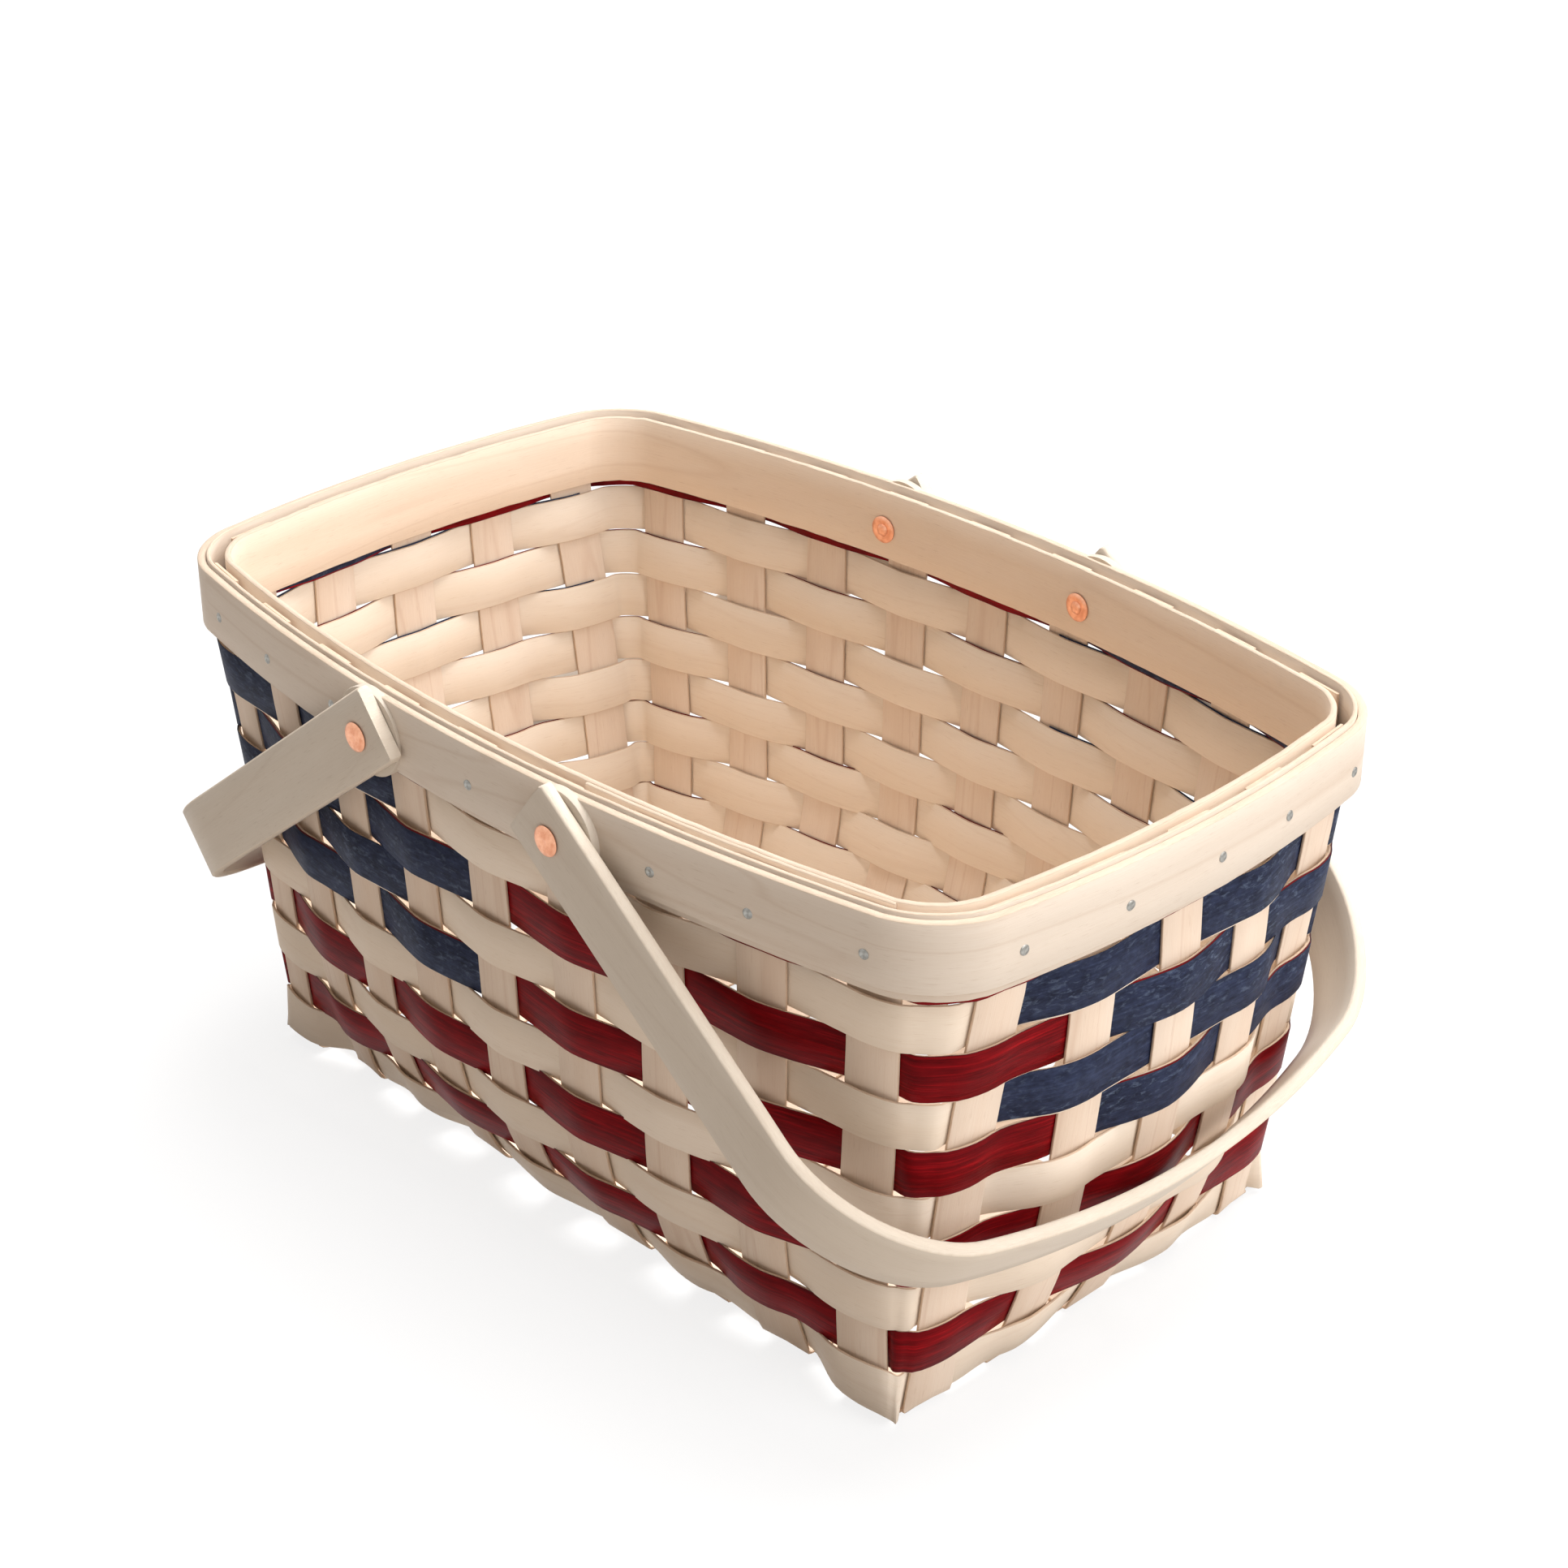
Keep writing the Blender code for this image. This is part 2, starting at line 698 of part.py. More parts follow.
def handle_reach():
    """Distance from the pivot to the outer face at a handle's corners."""
    return TOP_HALF_LENGTH + RIM_FACE_OUTSET + HANDLE_PASS - pivot_x()


def end_wall_x(height):
    """Outermost reach of an end wall's middle at a height above the floor."""
    unsagged = height
    for _ in range(REST_SEARCH_STEPS):
        point, _, _ = wall_frame(RIGHT, 0, unsagged, WEAVE_HALF_DEPTH + FLOAT_BULGE)
        unsagged += height - point.z
    return point.x


def rest_angle():
    """Angle below level at which a handle's grip comes to rest on the belly of the end wall."""
    reach = handle_reach() + HANDLE_GRIP_BOW - HANDLE_THICKNESS
    level, hanging = 0, math.pi / 2
    for _ in range(REST_SEARCH_STEPS):
        angle = (level + hanging) / 2
        edge_x = pivot_x() + reach * math.cos(angle) - HANDLE_WIDTH / 2 * math.sin(angle)
        edge_z = PIVOT_HEIGHT - reach * math.sin(angle) - HANDLE_WIDTH / 2 * math.cos(angle)
        if edge_x > end_wall_x(edge_z) + HANDLE_REST_CLEARANCE:
            level = angle
        else:
            hanging = angle
    return level


def handle_path():
    """Middle line of a handle, as reach from the pivot and place along the pivot's axis."""
    half_span = handle_inner_y() + HANDLE_THICKNESS / 2
    reach = handle_reach() - HANDLE_THICKNESS / 2
    radius = HANDLE_CORNER_RADIUS - HANDLE_THICKNESS / 2
    path = [(-HANDLE_END_LENGTH, -half_span), (0, -half_span)]
    for step in range(HANDLE_CORNER_STEPS + 1):
        angle = math.pi / 2 * step / HANDLE_CORNER_STEPS
        path.append((reach - radius + radius * math.sin(angle),
                     -half_span + radius - radius * math.cos(angle)))
    straight = half_span - radius
    for step in range(1, HANDLE_GRIP_STEPS // 2 + 1):
        path.append((reach, straight * (2 * step / HANDLE_GRIP_STEPS - 1)))
    bowed_path = []
    for along, across in path:
        bow = HANDLE_GRIP_BOW * (1 - (across / half_span) ** 2) * max(along / reach, 0)
        bowed_path.append((along + bow, across))
    return bowed_path + [(along, -across) for along, across in reversed(bowed_path[:-1])]


def build_handle(name, turn, material, collection, cutters):
    """A bent wooden handle, hung on its pivot by an empty on the rivets' axis."""
    pivot = bpy.data.objects.new(name + "_pivot", None)
    collection.objects.link(pivot)
    pivot.location = (pivot_x() * math.cos(turn), 0, PIVOT_HEIGHT)
    pivot.rotation_euler = (0, rest_angle(), turn)
    half = HANDLE_WIDTH / 2
    columns = [(Vector((along, across, -half)), Vector((along, across, half)))
               for along, across in handle_path()]
    handle = ribbon(name, columns, False, HANDLE_THICKNESS, collection)
    handle.parent = pivot
    ease = handle.modifiers.new("eased edges", "BEVEL")
    ease.width = HANDLE_EDGE_EASE
    ease.segments = 1
    ease.limit_method = "ANGLE"
    ease.angle_limit = HANDLE_EASE_ANGLE
    bore = cylinder(name + "_bore", HOLE_RADIUS, 2 * (handle_inner_y() + 2 * HANDLE_THICKNESS),
                    RIVET_SEGMENTS, cutters)
    bore.parent = pivot
    bore.rotation_euler = (math.pi / 2, 0, 0)
    hide_guide(bore)
    cut(handle, bore)
    handle.data.materials.append(material)
    return handle


def rivet_profile(shank_length):
    """Profile of a rivet from the top of its head to its peened end."""
    dome_radius = RIVET_HEAD_RADIUS * RIVET_DOME_RADIUS_SHARE
    dome_height = RIVET_HEAD_HEIGHT * RIVET_DOME_HEIGHT_SHARE
    return [(0, RIVET_HEAD_HEIGHT), (dome_radius, dome_height),
            (RIVET_HEAD_RADIUS, RIVET_HEAD_EDGE), (RIVET_HEAD_RADIUS, 0),
            (RIVET_SHANK_RADIUS, 0), (RIVET_SHANK_RADIUS, -shank_length),
            (PEEN_RADIUS, -shank_length),
            (PEEN_RADIUS * PEEN_TOP_SHARE, -(shank_length + PEEN_HEIGHT)),
            (0, -(shank_length + PEEN_HEIGHT))]


def burr_profile():
    """Closed profile of a burr, a washer with a raised middle."""
    bore = HOLE_RADIUS
    crown = BURR_RADIUS * BURR_CROWN_SHARE
    return [(bore, BURR_THICKNESS), (crown, BURR_THICKNESS),
            (BURR_RADIUS, BURR_THICKNESS * BURR_EDGE_SHARE), (BURR_RADIUS, 0),
            (bore, 0), (bore, BURR_THICKNESS)]


def build_fastening(end_name, side, sign_x, materials, collection, seat_cutter, bore):
    """Spacer disc, rivet and burr of one handle end."""
    outward = Vector((0, -1 if side == FRONT else 1, 0))
    along = pivot_x() * sign_x
    axis = Vector((along, 0, PIVOT_HEIGHT))
    copper, wood = materials

    disc_depth = SPACER_THICKNESS + GAP + OUTER_BAND_THICKNESS / 2
    spacer = cylinder("spacer_" + end_name, SPACER_RADIUS, disc_depth, SPACER_SEGMENTS, collection)
    spacer.location = axis + outward * (handle_inner_y() - GAP - disc_depth / 2)
    point_along(spacer, outward)
    cut(spacer, seat_cutter)
    cut(spacer, bore)
    spacer.data.materials.append(wood)

    inner_face, _, wall_outward = wall_frame(side, along, PIVOT_HEIGHT, INNER_FACE_OUTSET)
    burr_seat = inner_face - wall_outward * GAP
    burr = turned("burr_" + end_name, burr_profile(), RIVET_SEGMENTS, collection)
    burr.location = burr_seat
    point_along(burr, -wall_outward)
    burr.data.materials.append(copper)

    head_seat = handle_inner_y() + HANDLE_THICKNESS + GAP
    slope_allowance = BURR_RADIUS * abs(wall_outward.x)
    shank_end = abs(burr_seat.y) - BURR_THICKNESS - GAP - slope_allowance
    rivet = turned("rivet_" + end_name, rivet_profile(head_seat - shank_end),
                   RIVET_SEGMENTS, collection)
    rivet.location = axis + outward * head_seat
    point_along(rivet, outward)
    rivet.data.materials.append(copper)


# The whole basket


def main():
    """Builds every piece of the basket."""
    for old in list(bpy.data.objects):
        bpy.data.objects.remove(old)
    collection = new_collection(OBJECT_NAME)
    cutters = new_collection(OBJECT_NAME + "_cutters")

    stake_wood = new_material("stake maple", MAPLE, STAKE_ROUGHNESS)
    weaver_wood = new_material("weaver maple", MAPLE, WOOD_ROUGHNESS)
    stained_wood = new_material("red stained maple", RED_STAIN, STAIN_ROUGHNESS)
    rim_wood = new_material("rim maple", PALE_MAPLE, WOOD_ROUGHNESS)
    handle_wood = new_material("handle maple", HANDLE_WOOD, WOOD_ROUGHNESS)
    copper = new_material("copper", COPPER, COPPER_ROUGHNESS, COPPER_METALLIC)

    cross_stakes = build_cross_stakes(stake_wood, collection)
    build_long_stakes(stake_wood, collection)
    weavers = []
    for row in range(1, ROW_COUNT + 1):
        wood = stained_wood if row % 2 == 0 else weaver_wood
        weavers.append(build_weaver(row, wood, collection))
    bands = build_rim(rim_wood, collection)

    build_handle("right_handle", 0, handle_wood, collection, cutters)
    build_handle("left_handle", math.pi, handle_wood, collection, cutters)

    seat_depth = 2 * OUTER_BAND_THICKNESS
    seat_reach = 2 * SPACER_RADIUS
    seat_cutter = build_band("spacer_seat_cutter", RIM_FACE_OUTSET + GAP - seat_depth / 2,
                             seat_depth, PIVOT_HEIGHT - seat_reach, PIVOT_HEIGHT + seat_reach,
                             cutters)
    hide_guide(seat_cutter)
    middle = LONG_SIDE_STAKES // 2
    for side_name, sign_x in (("left", -1), ("right", 1)):
        bore = cylinder(side_name + "_rivet_bore", HOLE_RADIUS,
                        2 * (handle_inner_y() + HANDLE_THICKNESS), RIVET_SEGMENTS, cutters)
        bore.location = (pivot_x() * sign_x, 0, PIVOT_HEIGHT)
        bore.rotation_euler = (math.pi / 2, 0, 0)
        hide_guide(bore)
        for pierced in (*bands, weavers[-1], cross_stakes[middle + sign_x]):
            cut(pierced, bore)
        for face_name, side in (("front", FRONT), ("back", BACK)):
            build_fastening(f"{face_name}_{side_name}", side, sign_x, (copper, handle_wood),
                            collection, seat_cutter, bore)


if __name__ == "__main__":
    main()
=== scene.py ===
"""Woven splint market basket with two swing handles, dressed for a plain studio picture.

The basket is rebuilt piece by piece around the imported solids: stakes, rows of weaving, stained
face strips, rim bands, nails, handles, spacer discs, rivets and burrs. Lengths are in metres.
"""

import logging
import math
import random
from collections.abc import Callable, Mapping, Sequence
from dataclasses import dataclass
from enum import Enum
from typing import Any

import bmesh
import bpy
from mathutils import Matrix, Vector, noise


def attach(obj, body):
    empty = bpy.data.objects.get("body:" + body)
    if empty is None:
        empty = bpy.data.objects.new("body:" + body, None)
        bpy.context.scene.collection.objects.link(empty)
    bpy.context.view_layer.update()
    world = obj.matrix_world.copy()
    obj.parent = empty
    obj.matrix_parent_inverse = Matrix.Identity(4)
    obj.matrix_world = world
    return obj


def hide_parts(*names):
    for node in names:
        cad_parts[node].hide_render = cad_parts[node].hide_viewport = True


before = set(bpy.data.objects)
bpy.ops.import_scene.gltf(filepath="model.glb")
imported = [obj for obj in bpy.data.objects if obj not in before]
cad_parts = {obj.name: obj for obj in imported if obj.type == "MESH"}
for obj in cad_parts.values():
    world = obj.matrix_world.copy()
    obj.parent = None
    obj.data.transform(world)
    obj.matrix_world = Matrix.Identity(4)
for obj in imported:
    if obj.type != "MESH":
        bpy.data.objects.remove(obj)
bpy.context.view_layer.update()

LOG = logging.getLogger("market_basket")

Colour = tuple[float, float, float]

GRAIN_MAP = "grain"
BASKET_BODY = "basket"
WOOD_SHADING_ANGLE = math.radians(50)
METAL_SHADING_ANGLE = math.radians(42)
HAMMER_MARKS_PER_METRE = 900.0
SHORTEST_SPAN = 1e-9
SLOPE_REACH_SHARE = 0.3
FRONT_LEFT_STAKE = 23
BACK_RIGHT_STAKE = 9
WHITE: Colour = (1.0, 1.0, 1.0)


def blend(low: float, high: float, share: float) -> float:
    """Value between low and high at the given share."""
    return low + (high - low) * share


def place_in_scene(name: str, data: bpy.types.ID) -> bpy.types.Object:
    """Makes an object and links it to the scene.

    Args:
        name: The object's name.
        data: Its mesh, lamp or camera.

    Returns:
        The new object.
    """
    thing = bpy.data.objects.new(name, data)
    bpy.context.scene.collection.objects.link(thing)
    return thing


def mesh_from(shape: bmesh.types.BMesh, name: str) -> bpy.types.Mesh:
    """Turns a shape into a mesh and frees the shape.

    Args:
        shape: The shape in the making.
        name: The mesh's name.

    Returns:
        The new mesh.
    """
    mesh = bpy.data.meshes.new(name)
    shape.to_mesh(mesh)
    shape.free()
    return mesh


class WallSide(Enum):
    """The four walls, anticlockwise from the front, seen from above."""

    FRONT = "front"
    RIGHT = "right"
    BACK = "back"
    LEFT = "left"


OPPOSITE = {WallSide.BACK: WallSide.FRONT, WallSide.LEFT: WallSide.RIGHT}


class Stain(Enum):
    """The two stains on the face strips."""

    RED = "red"
    BLUE = "blue"


# Shader building


@dataclass(frozen=True)
class Socket:
    """One value of a node tree, with arithmetic that adds Math nodes."""

    tree: bpy.types.NodeTree
    source: bpy.types.NodeSocket

    def _combined(self, operation: str, first: "Socket | float", second: "Socket | float" = 0.0,
                  clamp: bool = False) -> "Socket":
        """Adds one Math node.

        Args:
            operation: The Math node's operation.
            first: Its first value.
            second: Its second value.
            clamp: Whether the result is held between 0 and 1.

        Returns:
            The node's result.
        """
        node = self.tree.nodes.new("ShaderNodeMath")
        node.operation = operation
        node.use_clamp = clamp
        for slot, value in zip(node.inputs, (first, second)):
            if isinstance(value, Socket):
                self.tree.links.new(value.source, slot)
            else:
                slot.default_value = value
        return Socket(self.tree, node.outputs[0])

    def __add__(self, other: "Socket | float") -> "Socket":
        """Sum."""
        return self._combined("ADD", self, other)

    def __radd__(self, other: float) -> "Socket":
        """Sum with a number on the left."""
        return self._combined("ADD", other, self)

    def __sub__(self, other: "Socket | float") -> "Socket":
        """Difference."""
        return self._combined("SUBTRACT", self, other)

    def __rsub__(self, other: float) -> "Socket":
        """Difference from a number on the left."""
        return self._combined("SUBTRACT", other, self)

    def __mul__(self, other: "Socket | float") -> "Socket":
        """Product."""
        return self._combined("MULTIPLY", self, other)

    def __rmul__(self, other: float) -> "Socket":
        """Product with a number on the left."""
        return self._combined("MULTIPLY", other, self)

    def __abs__(self) -> "Socket":
        """Size without its sign."""
        return self._combined("ABSOLUTE", self)

    def fraction(self) -> "Socket":
        """The part after the decimal point."""
        return self._combined("FRACT", self)

    def clamped(self) -> "Socket":
        """The value held between 0 and 1."""
        return self._combined("ADD", self, 0.0, clamp=True)

    def stretched(self, contrast: float) -> "Socket":
        """A noise value spread out round its middle and held between 0 and 1."""
        return ((self - 0.5) * contrast + 0.5).clamped()

    def above(self, level: float, steepness: float) -> "Socket":
        """0 below a level, rising at the given steepness to 1."""
        return ((self - level) * steepness).clamped()


class NodeTree:
    """A shader or world tree that is filled in from Python."""

    def __init__(self, tree: bpy.types.NodeTree) -> None:
        """Keeps the tree of a material or a world, which nodes are added to."""
        self.tree = tree

    @staticmethod
    def _slot(slots: bpy.types.bpy_prop_collection, key: str | int) -> bpy.types.NodeSocket:
        """Finds a socket.

        Args:
            slots: A node's inputs or outputs.
            key: The socket's place, identifier or name.

        Returns:
            The socket.
        """
        if isinstance(key, int):
            return slots[key]
        for slot in slots:
            if slot.identifier == key:
                return slot
        return slots[key]

    def fill(self, node: bpy.types.Node, values: Mapping[str | int, Any]) -> None:
        """Sets a node's sockets.

        Args:
            node: The node.
            values: The value or link of each socket, by identifier, name or place.
        """
        for key, value in values.items():
            slot = self._slot(node.inputs, key)
            if isinstance(value, Socket):
                self.tree.links.new(value.source, slot)
            elif isinstance(value, tuple) and slot.type == "RGBA":
                slot.default_value = (*value, 1.0)
            else:
                slot.default_value = value

    def node(self, kind: str, settings: Mapping[str, Any] | None = None,
             values: Mapping[str | int, Any] | None = None) -> bpy.types.Node:
        """Adds a node of any type.

        Args:
            kind: The node's type.
            settings: Its properties, set before its sockets.
            values: The value or link of each socket, by identifier, name or place.

        Returns:
            The new node.
        """
        node = self.tree.nodes.new(kind)
        for name, value in (settings or {}).items():
            setattr(node, name, value)
        self.fill(node, values or {})
        return node

    def out(self, node: bpy.types.Node, key: str | int = 0) -> Socket:
        """One output of a node."""
        return Socket(self.tree, self._slot(node.outputs, key))

    def colour_between(self, factor: Socket | float, low: Socket | Colour,
                       high: Socket | Colour) -> Socket:
        """Mixes two colours.

        Args:
            factor: 0 for the first colour, 1 for the second.
            low: The first colour.
            high: The second colour.

        Returns:
            The mixed colour.
        """
        node = self.node("ShaderNodeMix", {"data_type": "RGBA", "clamp_factor": True},
                         {"Factor_Float": factor, "A_Color": low, "B_Color": high})
        return self.out(node, "Result_Color")

    def place(self, x: Socket | float, y: Socket | float, z: Socket | float) -> Socket:
        """Puts three values together as a vector."""
        return self.out(self.node("ShaderNodeCombineXYZ", None, {0: x, 1: y, 2: z}))

    def scaled(self, where: Socket, scale: float) -> Socket:
        """A place multiplied by a number."""
        return self.out(self.node("ShaderNodeVectorMath", {"operation": "SCALE"},
                                  {0: where, "Scale": scale}))

    def noise(self, where: Socket, detail: float = 3.0, roughness: float = 0.55,
              distortion: float = 0.0) -> Socket:
        """Noise at a place that is already scaled.

        Args:
            where: The place.
            detail: Octaves of the noise.
            roughness: How strong the fine octaves are.
            distortion: How far the pattern is pushed about.

        Returns:
            The noise, from 0 to 1.
        """
        node = self.node("ShaderNodeTexNoise", {"noise_dimensions": "3D"},
                         {"Vector": where, "Scale": 1.0, "Detail": detail,
                          "Roughness": roughness, "Distortion": distortion})
        return self.out(node, "Fac")


def empty_tree(owner: bpy.types.World | bpy.types.Material) -> NodeTree:
    """Gives a world or a material a tree without nodes.

    Args:
        owner: The world or the material.

    Returns:
        The tree.
    """
    owner.use_nodes = True
    owner.node_tree.nodes.clear()
    return NodeTree(owner.node_tree)


@dataclass(frozen=True)
class Grain:
    """A pattern drawn out along the grain, by its marks per metre along and across it.

    The layer sets one pattern apart from another. Contrast and share say how a pattern is spread
    out and weighed where several make up one tone.
    """

    along: float
    across: float
    layer: float
    detail: float = 3.0
    roughness: float = 0.55
    distortion: float = 0.0
    contrast: float = 1.0
    share: float = 1.0


class SurfacePaint(NodeTree):
    """A material with one Principled shader."""

    def __init__(self, name: str) -> None:
        """Makes the material.

        Args:
            name: The material's name.
        """
        self.material = bpy.data.materials.new(name)
        self.material.use_nodes = True
        super().__init__(self.material.node_tree)
        self.shader = self.tree.nodes["Principled BSDF"]

    def grain(self) -> tuple[Socket, Socket]:
        """Reads the strip's own map.

        Returns:
            Length along and width across the grain, in metres.
        """
        uv = self.out(self.node("ShaderNodeUVMap", {"uv_map": GRAIN_MAP}))
        parts = self.node("ShaderNodeSeparateXYZ", None, {0: uv})
        return self.out(parts, 0), self.out(parts, 1)

    def streaks(self, grain: Grain) -> Socket:
        """Paints a grain pattern.

        Args:
            grain: The pattern.

        Returns:
            The noise, from 0 to 1.
        """
        u, v = self.grain()
        return self.noise(self.place(u * grain.along, v * grain.across, grain.layer),
                          grain.detail, grain.roughness, grain.distortion)

    @staticmethod
    def tone(layers: Sequence[tuple[Socket, Grain]]) -> Socket:
        """Weighs patterns together.

        Args:
            layers: Each pattern's noise and the grain that it came from.

        Returns:
            The tone, from 0 to 1.
        """
        first, *others = [noise_value.stretched(grain.contrast) * grain.share
                          for noise_value, grain in layers]
        return sum(others, first)

    def object_place(self) -> Socket:
        """The point in the piece's own frame."""
        return self.out(self.node("ShaderNodeTexCoord"), "Object")

    def bump(self, height: Socket, strength: float, distance: float) -> Socket:
        """Normal of a surface with the given height."""
        return self.out(self.node("ShaderNodeBump", None,
                                  {"Strength": strength, "Distance": distance, "Height": height}))

    def dress(self, values: Mapping[str, Any]) -> bpy.types.Material:
        """Sets the shader's sockets and returns the material."""
        self.fill(self.shader, values)
        return self.material


# Finishes


@dataclass(frozen=True)
class WoodFinish:
    """Bare or oiled maple, with fine streaks, soft figure, growth lines and short flecks."""

    name: str
    pale: Colour
    warm: Colour
    line: Colour
    fleck: Colour
    fine_grain: Grain = Grain(45.0, 2100.0, 0.0, 4.0, contrast=1.5, share=0.38)
    cloud_grain: Grain = Grain(14.0, 30.0, 9.1, 2.0, contrast=2.0, share=0.28)
    figure: tuple[float, float] = (5.0, 62.0)
    figure_layer: float = 3.7
    figure_contrast: float = 2.4
    figure_share: float = 0.34
    ring_stretch: tuple[float, float] = (0.6, 0.5)
    ring_layer: float = 17.3
    ring_detail: float = 1.0
    ring_distortion: float = 0.4
    ring_count: float = 7.0
    ring_steepness: float = 11.0
    ring_strength: float = 0.22
    fleck_grain: Grain = Grain(150.0, 2600.0, 23.9, 2.0)
    fleck_level: float = 0.63
    fleck_steepness: float = 9.0
    fleck_strength: float = 0.35
    relief_shares: tuple[float, float, float] = (0.7, 0.2, 0.3)
    relief_strength: float = 0.5
    relief: float = 0.0002
    roughness: float = 0.55
    roughness_spread: float = 0.16
    sheen: float = 0.13

    def material(self) -> bpy.types.Material:
        """Builds the wood's material.

        Returns:
            The material.
        """
        paint = SurfacePaint(self.name)
        broad_grain = Grain(*self.figure, self.figure_layer, contrast=self.figure_contrast,
                            share=self.figure_share)
        ring_grain = Grain(self.figure[0] * self.ring_stretch[0],
                           self.figure[1] * self.ring_stretch[1], self.ring_layer,
                           self.ring_detail, distortion=self.ring_distortion)
        fine = paint.streaks(self.fine_grain)
        broad = paint.streaks(broad_grain)
        cloud = paint.streaks(self.cloud_grain)
        from_ring = abs((paint.streaks(ring_grain) * self.ring_count).fraction() - 0.5)
        ring = (1.0 - from_ring * self.ring_steepness).clamped()
        flecks = paint.streaks(self.fleck_grain).above(self.fleck_level, self.fleck_steepness)
        tone = paint.tone([(fine, self.fine_grain), (broad, broad_grain),
                           (cloud, self.cloud_grain)])
        colour = paint.colour_between(tone, self.pale, self.warm)
        colour = paint.colour_between(ring * self.ring_strength, colour, self.line)
        colour = paint.colour_between(flecks * self.fleck_strength, colour, self.fleck)
        fine_share, broad_share, fleck_share = self.relief_shares
        height = fine * fine_share + broad * broad_share - flecks * fleck_share
        return paint.dress({
            "Base Color": colour,
            "Roughness": fine * self.roughness_spread
                         + (self.roughness - self.roughness_spread / 2),
            "Specular IOR Level": self.sheen,
            "Normal": paint.bump(height, self.relief_strength, self.relief),
        })


@dataclass(frozen=True)
class CutEdgeFinish:
    """The sawn or split edge of a strip, warmer and rougher than its faces."""

    name: str
    pale: Colour
    dark: Colour
    fibre_grain: Grain = Grain(260.0, 5200.0, 41.0, 4.0, contrast=2.0, share=0.6)
    patch_grain: Grain = Grain(38.0, 200.0, 47.0, 2.0, contrast=2.2, share=0.4)
    relief_strength: float = 0.6
    relief: float = 0.0004
    roughness: float = 0.75

    def material(self) -> bpy.types.Material:
        """Builds the edge's material.

        Returns:
            The material.
        """
        paint = SurfacePaint(self.name)
        fibres = paint.streaks(self.fibre_grain)
        patches = paint.streaks(self.patch_grain)
        tone = paint.tone([(fibres, self.fibre_grain), (patches, self.patch_grain)])
        return paint.dress({
            "Base Color": paint.colour_between(tone, self.pale, self.dark),
            "Roughness": self.roughness,
            "Normal": paint.bump(fibres, self.relief_strength, self.relief),
        })


@dataclass(frozen=True)
class StainFinish:
    """Stained maple with darker blotches, brighter streaks and a chalky bloom."""

    name: str
    middle: Colour
    deep: Colour
    bright: Colour
    chalk: Colour
    blotch_grain: Grain
    chalk_grain: Grain
    bright_share: float
    chalk_share: float
    chalk_level: float
    roughness: float
    chalk_steepness: float = 7.0
    chalk_contrast: float = 3.0
    fine_grain: Grain = Grain(60.0, 1900.0, 2.0, 4.0, contrast=2.2, share=0.22)
    cloud_grain: Grain = Grain(11.0, 55.0, 12.5, contrast=2.2, share=0.28)
    thread_grain: Grain = Grain(26.0, 900.0, 19.0, 3.0, 0.6, 0.3)
    thread_level: float = 0.5
    thread_steepness: float = 3.2
    blotch_relief: float = 0.3
    relief_strength: float = 0.45
    relief: float = 0.0002
    roughness_spread: float = 0.2
    sheen: float = 0.05

    def material(self) -> bpy.types.Material:
        """Builds the stained wood's material.

        Returns:
            The material.
        """
        paint = SurfacePaint(self.name)
        fine = paint.streaks(self.fine_grain)
        blotches = paint.streaks(self.blotch_grain)
        clouds = paint.streaks(self.cloud_grain)
        threads = paint.streaks(self.thread_grain)
        chalk = paint.streaks(self.chalk_grain).above(self.chalk_level, self.chalk_steepness)
        deep = paint.tone([(blotches, self.blotch_grain), (clouds, self.cloud_grain),
                           (fine, self.fine_grain)])
        colour = paint.colour_between(deep, self.middle, self.deep)
        bright = threads.above(self.thread_level, self.thread_steepness) * (1.0 - deep)
        colour = paint.colour_between(bright * self.bright_share, colour, self.bright)
        bloom = chalk * clouds.stretched(self.chalk_contrast) * self.chalk_share
        colour = paint.colour_between(bloom, colour, self.chalk)
        return paint.dress({
            "Base Color": colour,
            "Roughness": fine * self.roughness_spread
                         + (self.roughness - self.roughness_spread / 2),
            "Specular IOR Level": self.sheen,
            "Normal": paint.bump(fine + blotches * self.blotch_relief, self.relief_strength,
                                 self.relief),
        })


@dataclass(frozen=True)
class MetalFinish:
    """Worn metal with fine scratches and tarnish."""

    name: str
    clean: Colour
    tarnished: Colour
    scratch_scale: float
    tarnish_scale: float
    roughness: float
    roughness_spread: float
    relief: float
    relief_strength: float = 0.35
    scratch_detail: float = 5.0
    scratch_roughness: float = 0.7
    tarnish_contrast: float = 2.6
    tarnish_roughness: float = 0.08

    def material(self) -> bpy.types.Material:
        """Builds the metal's material.

        Returns:
            The material.
        """
        paint = SurfacePaint(self.name)
        where = paint.object_place()
        scratches = paint.noise(paint.scaled(where, self.scratch_scale), self.scratch_detail,
                                self.scratch_roughness)
        tarnish = paint.noise(paint.scaled(where, self.tarnish_scale)).stretched(
            self.tarnish_contrast)
        return paint.dress({
            "Base Color": paint.colour_between(tarnish, self.clean, self.tarnished),
            "Metallic": 1.0,
            "Roughness": scratches * self.roughness_spread
                         + tarnish * self.tarnish_roughness + self.roughness,
            "Normal": paint.bump(scratches, self.relief_strength, self.relief),
        })


